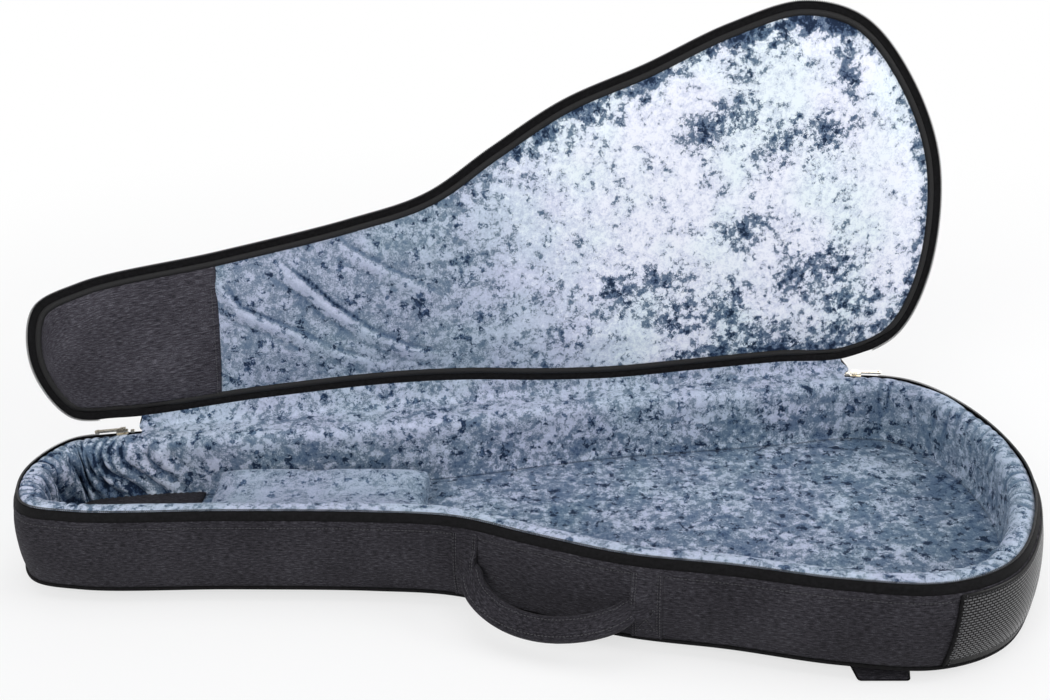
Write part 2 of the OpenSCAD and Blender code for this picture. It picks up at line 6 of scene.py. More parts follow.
import bmesh
import bpy
import numpy as np
from mathutils import Matrix
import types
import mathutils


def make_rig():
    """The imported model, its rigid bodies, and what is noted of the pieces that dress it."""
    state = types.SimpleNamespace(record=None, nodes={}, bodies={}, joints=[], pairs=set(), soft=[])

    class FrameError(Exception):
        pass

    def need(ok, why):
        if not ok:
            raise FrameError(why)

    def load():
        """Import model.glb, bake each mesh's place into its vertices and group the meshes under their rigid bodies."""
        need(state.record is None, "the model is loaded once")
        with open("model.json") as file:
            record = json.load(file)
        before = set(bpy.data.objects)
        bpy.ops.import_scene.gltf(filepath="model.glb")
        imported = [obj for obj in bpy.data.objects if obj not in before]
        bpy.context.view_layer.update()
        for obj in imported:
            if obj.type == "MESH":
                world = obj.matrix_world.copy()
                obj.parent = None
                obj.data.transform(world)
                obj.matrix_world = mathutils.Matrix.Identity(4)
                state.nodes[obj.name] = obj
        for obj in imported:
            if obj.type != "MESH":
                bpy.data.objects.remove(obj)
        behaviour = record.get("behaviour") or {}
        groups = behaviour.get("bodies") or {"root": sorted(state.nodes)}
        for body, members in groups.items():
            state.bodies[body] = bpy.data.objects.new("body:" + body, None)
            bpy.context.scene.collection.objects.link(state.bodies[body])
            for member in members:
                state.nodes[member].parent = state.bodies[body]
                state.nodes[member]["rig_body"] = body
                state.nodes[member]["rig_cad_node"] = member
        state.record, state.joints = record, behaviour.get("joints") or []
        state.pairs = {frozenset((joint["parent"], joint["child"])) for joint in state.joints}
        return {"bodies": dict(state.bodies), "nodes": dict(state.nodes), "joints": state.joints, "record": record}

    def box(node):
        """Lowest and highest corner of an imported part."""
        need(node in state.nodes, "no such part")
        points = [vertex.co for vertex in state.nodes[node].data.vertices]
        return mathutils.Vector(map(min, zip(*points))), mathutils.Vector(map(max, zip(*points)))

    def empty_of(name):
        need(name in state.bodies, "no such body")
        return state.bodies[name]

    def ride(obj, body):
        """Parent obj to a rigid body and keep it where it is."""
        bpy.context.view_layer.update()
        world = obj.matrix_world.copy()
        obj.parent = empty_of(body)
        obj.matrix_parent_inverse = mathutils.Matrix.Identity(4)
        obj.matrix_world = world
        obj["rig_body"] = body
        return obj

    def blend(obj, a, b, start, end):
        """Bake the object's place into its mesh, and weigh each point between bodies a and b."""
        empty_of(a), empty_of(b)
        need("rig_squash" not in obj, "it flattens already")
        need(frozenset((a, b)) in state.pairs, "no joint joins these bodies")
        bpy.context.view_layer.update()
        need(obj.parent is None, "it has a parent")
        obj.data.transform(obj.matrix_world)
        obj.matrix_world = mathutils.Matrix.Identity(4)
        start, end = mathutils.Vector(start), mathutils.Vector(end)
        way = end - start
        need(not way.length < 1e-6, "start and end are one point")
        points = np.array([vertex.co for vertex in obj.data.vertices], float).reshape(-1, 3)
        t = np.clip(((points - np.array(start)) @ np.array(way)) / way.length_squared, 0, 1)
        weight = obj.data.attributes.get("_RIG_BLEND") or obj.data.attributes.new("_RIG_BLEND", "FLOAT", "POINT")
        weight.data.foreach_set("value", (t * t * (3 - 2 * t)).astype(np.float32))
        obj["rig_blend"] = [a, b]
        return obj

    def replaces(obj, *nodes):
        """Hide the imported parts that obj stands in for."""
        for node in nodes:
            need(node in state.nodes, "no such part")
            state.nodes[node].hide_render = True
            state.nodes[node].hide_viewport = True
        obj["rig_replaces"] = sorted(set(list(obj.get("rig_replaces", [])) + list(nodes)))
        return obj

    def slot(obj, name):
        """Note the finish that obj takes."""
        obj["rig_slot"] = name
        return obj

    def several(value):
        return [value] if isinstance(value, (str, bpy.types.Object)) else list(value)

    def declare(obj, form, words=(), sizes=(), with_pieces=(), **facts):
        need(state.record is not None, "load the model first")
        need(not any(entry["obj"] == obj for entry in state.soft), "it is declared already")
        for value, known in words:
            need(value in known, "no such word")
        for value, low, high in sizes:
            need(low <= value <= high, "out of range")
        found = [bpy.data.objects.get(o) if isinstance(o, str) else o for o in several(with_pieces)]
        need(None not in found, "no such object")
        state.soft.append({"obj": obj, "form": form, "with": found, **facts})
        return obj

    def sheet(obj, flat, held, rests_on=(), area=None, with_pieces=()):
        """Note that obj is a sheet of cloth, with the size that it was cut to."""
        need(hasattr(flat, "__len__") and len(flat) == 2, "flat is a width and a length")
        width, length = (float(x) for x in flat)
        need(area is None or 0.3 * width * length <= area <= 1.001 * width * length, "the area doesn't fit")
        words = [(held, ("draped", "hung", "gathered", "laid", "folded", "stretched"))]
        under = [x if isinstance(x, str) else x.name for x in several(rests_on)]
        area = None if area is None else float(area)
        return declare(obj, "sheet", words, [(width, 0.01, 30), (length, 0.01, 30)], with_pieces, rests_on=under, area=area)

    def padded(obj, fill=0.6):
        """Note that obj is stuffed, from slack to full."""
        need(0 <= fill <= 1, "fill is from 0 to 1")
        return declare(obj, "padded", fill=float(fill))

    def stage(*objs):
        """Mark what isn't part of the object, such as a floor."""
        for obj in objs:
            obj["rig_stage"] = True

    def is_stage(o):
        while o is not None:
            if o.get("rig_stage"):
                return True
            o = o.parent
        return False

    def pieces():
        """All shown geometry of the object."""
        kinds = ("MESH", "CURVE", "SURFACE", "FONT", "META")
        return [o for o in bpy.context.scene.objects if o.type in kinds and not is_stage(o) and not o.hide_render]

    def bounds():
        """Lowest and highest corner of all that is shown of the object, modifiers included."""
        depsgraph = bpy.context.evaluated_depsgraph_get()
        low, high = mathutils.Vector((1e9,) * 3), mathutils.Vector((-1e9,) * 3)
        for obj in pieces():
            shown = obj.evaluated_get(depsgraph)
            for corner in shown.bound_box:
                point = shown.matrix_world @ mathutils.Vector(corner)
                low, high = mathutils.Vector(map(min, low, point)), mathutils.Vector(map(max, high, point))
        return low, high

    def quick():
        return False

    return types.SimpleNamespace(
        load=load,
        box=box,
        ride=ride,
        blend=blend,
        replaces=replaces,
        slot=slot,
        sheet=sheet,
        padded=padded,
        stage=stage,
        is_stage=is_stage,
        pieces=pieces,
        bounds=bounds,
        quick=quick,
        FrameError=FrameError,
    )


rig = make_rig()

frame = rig.load()
cad_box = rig.bounds()

# Back panel: the charcoal cloth under the floor foam, cut to the outline of the rim.
# It turns up softly at the edge, where it is sewn to the side wall through the bottom piping.
MM = 0.001
back_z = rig.box("back_panel")[0].z
half_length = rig.box("zipper_tape_base")[1].x
# Rim stations: place along the bag, half width at the front, half width at the hinge side
rim_stations = MM * np.array([
    [-520, 72, 72], [-460, 91, 90], [-300, 92, 105], [-150, 96, 123], [-60, 106, 140], [20, 140, 160],
    [110, 175, 179], [210, 195, 193], [310, 219, 207], [400, 226, 222], [470, 193, 204], [520, 112, 132]])
rim_knots = np.vstack([
    [(-half_length, 0)], rim_stations[:, :2] * (1, -1), [(half_length, 0)], rim_stations[::-1, ::2]])


def unit(rows):
    """Vectors brought to length 1."""
    return rows / np.maximum(np.linalg.norm(rows, axis=-1, keepdims=True), 1e-12)


def closed_spline(knots, steps):
    """Closed curve through the knots: each span is a cubic in t whose end slopes weigh the neighbouring
    chords by the square roots of their lengths."""
    before, here, after, beyond = (np.roll(knots, k, 0)[:, None] for k in (1, 0, -1, -2))
    a, b, c = (np.sqrt(np.linalg.norm(chord, axis=-1, keepdims=True))
               for chord in (here - before, after - here, beyond - after))
    slope_here = ((here - before) / a - (after - before) / (a + b) + (after - here) / b) * b
    slope_after = ((after - here) / b - (beyond - here) / (b + c) + (beyond - after) / c) * b
    t = (np.arange(steps) / steps)[None, :, None]
    return ((2 * t**3 - 3 * t**2 + 1) * here + (t**3 - 2 * t**2 + t) * slope_here
            + (3 * t**2 - 2 * t**3) * after + (t**3 - t**2) * slope_after).reshape(-1, 2)


def run_of(line):
    """Running length along a line of points, starting at 0."""
    return np.concatenate([[0], np.cumsum(np.linalg.norm(np.diff(line, axis=0), axis=1))])


def evenly(line, count):
    """Open line resampled at even steps of its running length."""
    run = run_of(line)
    at = np.linspace(0, run[-1], count)
    return np.stack([np.interp(at, run, axis) for axis in line.T], 1)


def grid_of(x, y, z):
    """Points from coordinates that are spread over one grid."""
    return np.stack(np.broadcast_arrays(x, y, z), -1)


def edge_of(knots):
    """A closed edge through the knots: its points and running lengths, and a function that gives the point at a
    running length, an inset along the outward normal and a height."""
    curve = closed_spline(knots, 60)
    curve = evenly(np.vstack([curve, curve[:1]]), 4001)
    run = run_of(curve)
    ahead = np.roll(curve[:-1], -1, 0) - np.roll(curve[:-1], 1, 0)
    out = unit(np.stack([ahead[:, 1], -ahead[:, 0]], 1))
    columns = np.hstack([curve, np.vstack([out, out[:1]])]).T

    def beside(at, inset, height):
        at, inset, height = np.broadcast_arrays(at, inset, height)
        x, y, nx, ny = (np.interp(at, run, column, period=run[-1]) for column in columns)
        return grid_of(x - inset * nx, y - inset * ny, height)

    return curve, run, beside


rim_curve, rim_run, on_rim = edge_of(rim_knots)
girth = rim_run[-1]


def inside_rim(inset):
    """The rim's outline moved inwards."""
    return on_rim(rim_run[:-1], inset, 0.0)[:, :2]


def panel(edge, count, rows, left=None):
    """Grid of x and y inside an outline: x is spaced by a cosine towards its ends, or from the left edge given,
    and y runs evenly from the front side of the outline to the rear side."""
    first, last = edge[:, 0].argmin(), edge[:, 0].argmax()
    front = np.roll(edge, -first, 0)[:(last - first) % len(edge) + 1]
    rear = np.roll(edge, -last, 0)[:(first - last) % len(edge) + 1][::-1]
    if left is None:
        turn, reach = np.linspace(0, math.pi, count), (edge[last, 0] - edge[first, 0]) * 0.5
    else:
        turn, reach = np.linspace(math.pi / 2, math.pi, count), edge[last, 0] - left
    x = edge[last, 0] - reach * (1 + np.cos(turn))
    low, high = np.interp(x, *front.T), np.interp(x, *rear.T)
    share = np.linspace(0, 1, rows)
    y = low[:, None] * (1 - share) + high[:, None] * share
    return np.stack([np.broadcast_to(x[:, None], y.shape), y], -1)


def edge_depth(points, edge):
    """Distance of panel points from an outline."""
    edge = edge[::max(1, len(edge) // 340)].astype(np.float32)
    flat = points.reshape(-1, 2).astype(np.float32)
    return np.sqrt((((flat[:, None] - edge[None]) ** 2).sum(2)).min(1)).reshape(points.shape[:2])


def surface(name, points, around=False, tube=False, lengths=None, flip=False):
    """Mesh of a grid of points by [u, v]: each cell is a quad, around and tube join the last row of u or v to
    the first, and a leading axis holds copies. lengths, along u and v, make its UV map."""
    points = points if points.ndim == 4 else points[None]
    copies, nu, nv = points.shape[:3]
    index = np.arange(nu * nv).reshape(nu, nv)
    index = np.vstack([index, index[:1]]) if around else index
    index = np.hstack([index, index[:, :1]]) if tube else index

    def cells(grid):
        four = [grid[:-1, :-1], grid[1:, :-1], grid[1:, 1:], grid[:-1, 1:]]
        return np.stack(four[::-1] if flip else four, 2).reshape(-1, 4, *grid.shape[2:])

    quads = (cells(index)[None] + (np.arange(copies) * nu * nv)[:, None, None]).reshape(-1, 4)
    mesh = bpy.data.meshes.new(name)
    mesh.vertices.add(copies * nu * nv)
    mesh.vertices.foreach_set("co", points.astype(np.float32).ravel())
    mesh.loops.add(quads.size)
    mesh.loops.foreach_set("vertex_index", quads.astype(np.int32).ravel())
    mesh.polygons.add(len(quads))
    mesh.polygons.foreach_set("loop_start", np.arange(0, quads.size, 4, dtype=np.int32))
    mesh.polygons.foreach_set("use_smooth", np.ones(len(quads), bool))
    if lengths is not None:
        grid = np.stack(np.meshgrid(*lengths, indexing="ij"), -1)
        layer = mesh.uv_layers.new(name="lengths")
        layer.data.foreach_set("uv", np.tile(cells(grid), (copies, 1, 1)).astype(np.float32).ravel())
    mesh.update(calc_edges=True)
    made = bpy.data.objects.new(name, mesh)
    bpy.context.collection.objects.link(made)
    return made


def close_poles(made):
    """Merges points that fall together, so that poles and seams are closed."""
    work = bmesh.new()
    work.from_mesh(made.data)
    bmesh.ops.remove_doubles(work, verts=work.verts, dist=1e-5)
    bmesh.ops.dissolve_degenerate(work, dist=1e-6, edges=work.edges)
    work.to_mesh(made.data)
    work.free()
    return made


def thicken(made, thickness):
    """Cloth thickness behind the face."""
    wall = made.modifiers.new("cloth", "SOLIDIFY")
    wall.thickness, wall.offset = thickness, -1
    return made


def step(low, high, value):
    """Eased step from 0 at low to 1 at high."""
    t = np.clip((value - low) / (high - low), 0, 1)
    return t * t * (3 - 2 * t)


class Shade:
    """An output socket in a material. Arithmetic on it adds Math nodes."""

    def __init__(self, tree, socket=None):
        self.tree, self.socket = tree, socket

    def node(self, kind, settings, sockets, out=0):
        """Adds a node: its settings first, a ramp's stops among them, then a value or a link for each input."""
        made = self.tree.nodes.new("ShaderNode" + kind)
        for key, value in settings.items():
            if key == "stops":
                stops = made.color_ramp.elements
                for place, colour in value[2:]:
                    stops.new(place)
                for stop, (place, colour) in zip(stops, value):
                    stop.position, stop.color = place, (*colour, 1)
            else:
                setattr(made, key, value)
        for key, value in sockets.items():
            if isinstance(value, Shade):
                self.tree.links.new(value.socket, made.inputs[key])
            else:
                made.inputs[key].default_value = value
        return Shade(self.tree, made.outputs[out])

    def math(self, operation, first, second=0.0):
        return self.node("Math", {"operation": operation}, {0: first, 1: second})

    def noise(self, scale, detail=2, roughness=0.5, out=0):
        return self.node("TexNoise", {}, {
            "Vector": self, "Scale": scale, "Detail": detail, "Roughness": roughness}, out)

    def between(self, low, high):
        return self.node("MapRange", {}, {"Value": self, "From Min": low, "From Max": high})

    def along(self, axis):
        return self.node("SeparateXYZ", {}, {0: self}, axis)

    def stretched(self, scale):
        return self.node("Mapping", {}, {"Vector": self, "Scale": scale})

    def ramp(self, *stops):
        return self.node("ValToRGB", {"stops": stops}, {"Fac": self})

    def bump(self, depth, strength=1.0):
        return self.node("Bump", {}, {"Height": self, "Distance": depth, "Strength": strength}, "Normal")

    def __add__(self, other):
        return self.math("ADD", self, other)

    def __sub__(self, other):
        return self.math("SUBTRACT", self, other)

    def __rsub__(self, other):
        return self.math("SUBTRACT", other, self)

    def __mul__(self, other):
        return self.math("MULTIPLY", self, other)

    __radd__, __rmul__ = __add__, __mul__


def finish(name, coordinates, recipe, fixed):
    """New material: fixed values go on the shader's own sockets, and the recipe turns the coordinates into the
    inputs that vary over the surface."""
    made = bpy.data.materials.new(name)
    made.use_nodes = True
    shader = made.node_tree.nodes["Principled BSDF"]
    for socket, value in fixed.items():
        shader.inputs[socket].default_value = value
    start = Shade(made.node_tree).node("TexCoord", {}, {}, coordinates)
    for socket, value in recipe(start).items():
        made.node_tree.links.new(value.socket, shader.inputs[socket])
    return made


def melange(at, shade=1.0):
    """Dark and pale yarns in short streaks along the weft, a fine grain, and the plain weave as bump. shade makes
    the whole cloth paler or darker."""
    streak = at.stretched((160, 680, 680)).noise(1, 3, 0.65)
    grain = at.noise(1300, 2)
    cloud = at.noise(14, 2)
    tone = 0.62 * streak + 0.4 * grain + 0.16 * cloud - 0.09
    u, v = at.along("X"), at.along("Y")
    weave = at.math("SINE", u * 7400) * at.math("SINE", v * 7400)
    yarns = ((0.36, (0.0060, 0.0056, 0.0074)), (0.465, (0.0185, 0.0172, 0.0212)),
             (0.56, (0.0370, 0.0350, 0.0425)), (0.69, (0.0900, 0.0880, 0.1000)))
    return {
        "Base Color": tone.ramp(*((place, tuple(shade * c for c in colour)) for place, colour in yarns)),
        "Roughness": 0.95 - 0.2 * tone,
        "Normal": (0.7 * tone + 0.12 * weave).bump(0.7 * MM)}


SOFT_CLOTH = {"Sheen Weight": 0.03, "Sheen Roughness": 0.45, "Specular IOR Level": 0.1}
charcoal = finish("charcoal_melange", "UV", melange, SOFT_CLOTH)


def dress(made, body, material, slot, *stands_for, thick=0):
    """Gives a piece its material, its body and its record slot, and names the CAD nodes that it stands for. A single
    layer of cloth is also made thick, behind its face."""
    if thick:
        thicken(made, thick)
    made.data.materials.append(material)
    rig.ride(made, body)
    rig.slot(made, slot)
    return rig.replaces(made, *stands_for)


edge = inside_rim(1 * MM)
flat = panel(edge, 240, 81)
turn_up = (1 - step(0, 22 * MM, edge_depth(flat, edge))) ** 1.5
back_panel = surface("back_panel_cloth", np.dstack([flat, back_z + 0.3 * MM + 4.6 * MM * turn_up]), flip=True,
                     lengths=(flat[:, 0, 0], np.linspace(-0.2, 0.2, 81)))
dress(close_poles(back_panel), "base", charcoal, "charcoal_fabric", "back_panel", "base_floor_foam", thick=1.2 * MM)
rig.sheet(back_panel, flat=(2 * half_length, 0.448), held="stretched", rests_on=["base_floor_foam"], area=0.345)

# Bottom piping: a black covered cord sewn into the seam between the back panel and the side wall.
# It runs once round the bag and shows as the thin dark line along the bottom edge.
PIPING_Z = back_z + 7 * MM


def black_weave(at):
    """Black yarn: a fine twill rib as bump, with faint paler wear along the ribs."""
    u, v = at.along("X"), at.along("Y")
    rib = at.math("SINE", (u + v) * 4800)
    wear = at.noise(240, 3, 0.6)
    return {
        "Base Color": wear.ramp((0.35, (0.0034, 0.0033, 0.0037)), (0.75, (0.0105, 0.0102, 0.0112))),
        "Roughness": 0.46 + 0.3 * wear,
        "Normal": (0.3 * rib + 0.5 * wear).bump(0.25 * MM)}


black_cloth = finish("black_weave", "UV", black_weave, {"Specular IOR Level": 0.06})


def turns(count):
    """Angles evenly round a circle."""
    return np.arange(count) / count * 2 * math.pi


def carried(section, count=900, length=girth, beside=on_rim):
    """A section of insets and heights carried once round a closed edge, the rim unless another is given."""
    at = np.arange(count) / count * length
    return beside(at[:, None], section[None, :, 0], section[None, :, 1])


def cord_section(inset, height, radius):
    """Circle of insets and heights, the section of a covered cord."""
    angle = turns(10)
    return np.stack([inset - radius * np.cos(angle), height + radius * np.sin(angle)], 1)[::-1]


def sleeve(name, points, lap, length=girth, flip=False):
    """A section carried round an edge as a closed mesh: its UV map runs along the edge and over the lap."""
    nu, nv = points.shape[:2]
    return surface(name, points, around=True, tube=True, flip=flip, lengths=(
        np.linspace(0, length, nu + 1), np.linspace(0, lap, nv + 1)))


piping = sleeve("bottom_piping_cord", carried(cord_section(-1 * MM, PIPING_Z, 2.1 * MM)), 13 * MM)
dress(piping, "base", black_cloth, "black_tape", "bottom_piping")

# Side wall: one long charcoal gusset round the wall foam, fuller at mid height than at its seams.
# Its top edge is folded under and stitched down beside the zip tape.
HEM_STITCH_Z = 90.4 * MM
WALL_COUNT = 1000
STITCH_PITCH, STITCH_LENGTH, THREAD_R = 3.6 * MM, 2.7 * MM, 0.42 * MM


def cut_corners(line, cuts):
    """A line, or lines in a stack, with its corners cut a quarter in from each end, a few times."""
    for _ in range(cuts):
        here, after = line[..., :-1, :], line[..., 1:, :]
        cut = np.stack([0.75 * here + 0.25 * after, 0.25 * here + 0.75 * after], -2)
        cut = cut.reshape(*line.shape[:-2], -1, line.shape[-1])
        line = np.concatenate([line[..., :1, :], cut, line[..., -1:, :]], -2)
    return line


def rounded(corners, count, cuts=3):
    """Soft profile: a line with its corners cut, in points that are spaced evenly."""
    return evenly(cut_corners(np.array(corners, float), cuts), count)


wall_line = rounded(MM * np.array([[-1, 19], [-6, 45], [-5, 74], [0, 97]]), 60)


def wall_inset(height):
    """Inset of the wall's outer face at a height."""
    return np.interp(height, wall_line[:, 1], wall_line[:, 0])


def bell(away, width):
    """Bell curve: 1 at no distance, falling to 1/e at the width."""
    return np.exp(-(away / width) ** 2)


def lumps(u, v, seed, around=64):
    """Smooth lattice noise from -1 to 1: random values at whole numbers of u and v, eased between them, and
    repeated after the given count along u."""
    table = np.random.default_rng(seed).uniform(-1, 1, (64, 64))
    i, j = np.floor(u).astype(int), np.floor(v).astype(int)
    f, g = u - i, v - j
    f, g = f * f * (3 - 2 * f), g * g * (3 - 2 * g)
    i0, i1, j0, j1 = i % around, (i + 1) % around, j % 64, (j + 1) % 64
    return ((table[i0, j0] * (1 - f) + table[i1, j0] * f) * (1 - g)
            + (table[i0, j1] * (1 - f) + table[i1, j1] * f) * g)


wall_turn = np.arange(WALL_COUNT)[:, None] / WALL_COUNT
wall_z = np.concatenate([np.linspace(18.8, 84, 30), np.linspace(85, 97.2, 22)])[None] * MM
hem_relief = MM * (0.8 * step(88.5 * MM, 91 * MM, wall_z) - 0.7 * bell(wall_z - HEM_STITCH_Z, MM))
wall_free = np.sin(math.pi * np.clip((wall_z - 19 * MM) / (70 * MM), 0, 1)) ** 0.7
wall_slack = MM * wall_free * (0.9 * lumps(wall_turn * 30, wall_z / 0.05, 3, 30)
                               + 0.4 * lumps(wall_turn * 60, wall_z / 0.024, 4, 60))
fold_z = MM * np.array([[97.7, 97.3, 90, 50, 19.2]])
fold_in = MM * np.array([[0.2, 1.2, 1.5, 1.7, 1.6]]) + wall_inset(np.minimum(fold_z, 97 * MM))
wall_in = np.hstack([wall_inset(wall_z) - hem_relief - wall_slack, np.broadcast_to(fold_in, (WALL_COUNT, 5))])
wall_lap = np.concatenate([wall_z[0], 0.0965 + np.array([0.001, 0.003, 0.01, 0.05, 0.08, 0.1])])
gusset = surface("side_wall_cloth", on_rim(wall_turn * girth, wall_in, np.hstack([wall_z, fold_z])),
                 around=True, tube=True, lengths=(np.linspace(0, girth, WALL_COUNT + 1), wall_lap))
dress(gusset, "base", charcoal, "charcoal_fabric", "base_gusset", "base_wall_foam")
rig.sheet(gusset, flat=(girth, 0.09), held="stretched", rests_on=["base_wall_foam"])


def grained(scale, detail, dark, pale, rough, depth):
    """Recipe for a plain dark stuff: one fine grain varies its colour, gloss and relief a little."""
    def recipe(at):
        grain = at.noise(scale, detail)
        return {"Base Color": grain.ramp((0.3, dark), (0.7, pale)),
                "Roughness": rough[0] + rough[1] * grain, "Normal": grain.bump(depth)}

    return recipe


grey_thread = finish("grey_thread", "Object", grained(
    900, 2, (0.020, 0.0195, 0.023), (0.050, 0.049, 0.056), (0.4, 0.3), 0.1 * MM), {"Sheen Weight": 0.1})


def stitched(name, line, normal, body):
    """A row of stitches along a line: capsules of thread, each arched a little off the cloth. Ring radius is
    the root of 1 - t^2, t running from end to end."""
    run = run_of(line)
    middle = np.arange(STITCH_PITCH / 2, run[-1], STITCH_PITCH)
    normal = np.broadcast_to(normal, line.shape)
    place, ahead, up = (np.stack([np.interp(middle, run, axis) for axis in rows.T], 1)[:, None, None]
                        for rows in (line, np.gradient(line, axis=0), normal))
    ahead, up = unit(ahead), unit(up)
    t = np.linspace(-1, 1, 5)[None, :, None, None]
    angle = turns(5)[None, None, :, None]
    points = (place + t * STITCH_LENGTH / 2 * ahead + 0.5 * THREAD_R * (1 - t**2) * up
              + THREAD_R * np.sqrt(1 - t**2) * (np.cos(angle) * np.cross(ahead, up) + np.sin(angle) * up))
    row = close_poles(surface(name, points, tube=True, flip=True))
    return dress(row, body, grey_thread, "charcoal_fabric")


def outward_at(at):
    """Outward normals of the rim at those running lengths, level."""
    return on_rim(at, -1.0, 0.0) - on_rim(at, 0.0, 0.0)


def wall_row(name, at, height, lift):
    """Stitches on the wall along running lengths and heights, lifted off its face."""
    return stitched(name, on_rim(at, wall_inset(height) - lift, height), outward_at(at), "base")


def rim_place(x, front):
    """Running length at which the front or the rear side of the rim passes x."""
    side = rim_curve[:, 1] < 0 if front else rim_curve[:, 1] > 0
    return rim_run[np.where(side, np.abs(rim_curve[:, 0] - x), 9).argmin()]


BUMPER_X = 409 * MM
bumper_start, bumper_end = rim_place(BUMPER_X, True), rim_place(BUMPER_X, False)
wall_row("hem_stitches", np.linspace(bumper_end + 6 * MM, bumper_start + girth - 2 * MM, 2000), HEM_STITCH_Z, 0.2 * MM)

# End bumper: a black embossed rubber sheet that wraps the tail end, under a covered cord at each slanted edge.
# It is sewn over the side wall, with a smooth border along the bottom.
BUMPER_T = 1.9 * MM
BUMPER_LEAN = 0.14
BORDER_Z = 27 * MM
WALL_MID = (PIPING_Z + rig.box("zipper_tape_base")[0].z) / 2


def bumper_at(share, height):
    """Running length on the bumper: its two ends lean away from each other towards the floor."""
    lean = BUMPER_LEAN * (height - WALL_MID)
    return (bumper_start + lean) * (1 - share) + (bumper_end - lean) * share


def embossed(at):
    """Rows of short raised dashes, offset like bricks, above a smooth border; scuffed paler on the dashes."""
    dash = at.node("TexBrick", {"offset": 0.5}, {
        "Vector": at, "Scale": 1.0, "Mortar Size": 0.0008, "Mortar Smooth": 0.7,
        "Brick Width": 0.0052, "Row Height": 0.0027}, "Fac")
    height = at.along("Y")
    field = at.math("GREATER_THAN", height, BORDER_Z) * at.math("LESS_THAN", height, 92.5 * MM)
    raised = (1 - dash) * field
    scuff = at.noise(90, 4, 0.65)
    tone = 0.6 * raised + 0.25 * scuff
    return {
        "Base Color": tone.ramp((0.15, (0.003, 0.003, 0.0032)), (0.7, (0.085, 0.085, 0.088))),
        "Roughness": 0.4 + 0.3 * scuff,
        "Coat Weight": raised + 0.3 * (1 - field),
        "Normal": (raised + 0.1 * scuff).bump(2.0 * MM)}


rubber = finish("embossed_rubber", "UV", embossed, {"Specular IOR Level": 0.06, "Coat Roughness": 0.22})
bumper_z = np.linspace(19.4, 96.6, 40)[None] * MM
share = np.linspace(0, 1, 320)[:, None]
edge_dip = 1.0 * MM * (1 - step(0, 0.012, share) * step(0, 0.012, 1 - share))
bumper = surface("end_bumper_sheet", on_rim(
    bumper_at(share, bumper_z), wall_inset(bumper_z) - BUMPER_T + edge_dip, bumper_z),
    lengths=(np.linspace(0, bumper_end - bumper_start, 320), bumper_z[0]))
dress(bumper, "base", rubber, "bumper", "end_bumper", thick=1.5 * MM)
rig.sheet(bumper, flat=(bumper_end - bumper_start, 0.08), held="stretched", rests_on=["side_wall_cloth"])


def ahead_of(line):
    """Unit direction of travel at each point of a line."""
    return unit(np.gradient(line, axis=0))


def cord_along(name, line, out, radius, sides, lengths=None):
    """A round cord along a line: centre + radius * (cos * side + sin * out), with its ends drawn to a point."""
    angle = turns(sides)[None, :, None]
    side = np.cross(ahead_of(line), out)
    full = np.ones((len(line), 1, 1))
    full[[0, -1]] = 0
    points = line[:, None] + full * radius * (np.cos(angle) * side[:, None] + np.sin(angle) * out[:, None])
    return close_poles(surface(name, points, tube=True, flip=True, lengths=lengths))


edge_z = np.linspace(19.0, 96.8, 44) * MM
for end, name, inwards in ((0.0, "front", 4.6 * MM), (1.0, "rear", -4.6 * MM)):
    at = bumper_at(end, edge_z)
    line = on_rim(at, wall_inset(edge_z) - 1.4 * MM, edge_z)
    cord = cord_along(f"bumper_piping_{name}", line, outward_at(at), 1.9 * MM, 10,
                      lengths=(edge_z, np.linspace(0, 12 * MM, 11)))
    dress(cord, "base", black_cloth, "black_tape", *(["bumper_piping"] if end == 0 else []))
    wall_row(f"bumper_edge_stitches_{name}", at + inwards, edge_z, 2.0 * MM)
for name, height in (("bumper_top_stitches", 93.2 * MM), ("bumper_border_stitches", BORDER_Z)):
    wall_row(name, np.linspace(bumper_at(0.0, height) + 6 * MM, bumper_at(1.0, height) - 6 * MM, 400), height, 2.0 * MM)

# Wall lining: crushed velvet rolled over the top of the wall foam and drawn down its inner side.
# It is cut straight, so it gathers into pleats round the two ends, and it is sewn in at the zip tape.
LINING_COUNT = 1800
LINING_SEAM_X = 418 * MM


def nap_and_shade_on(made, nap, crush):
    """Stores a pile tone at each point, from 0, the pile lying away from the light, to 1, towards it, with painted
    shade and painted light that the pieces add to it, and how strongly it is crushed into flakes."""
    for name, values in (("nap", nap), ("crush", crush)):
        layer = made.data.attributes.new(name, "FLOAT", "POINT")
        values = np.asarray(values, np.float32).ravel()
        layer.data.foreach_set("value", np.broadcast_to(values, len(made.data.vertices)).copy())


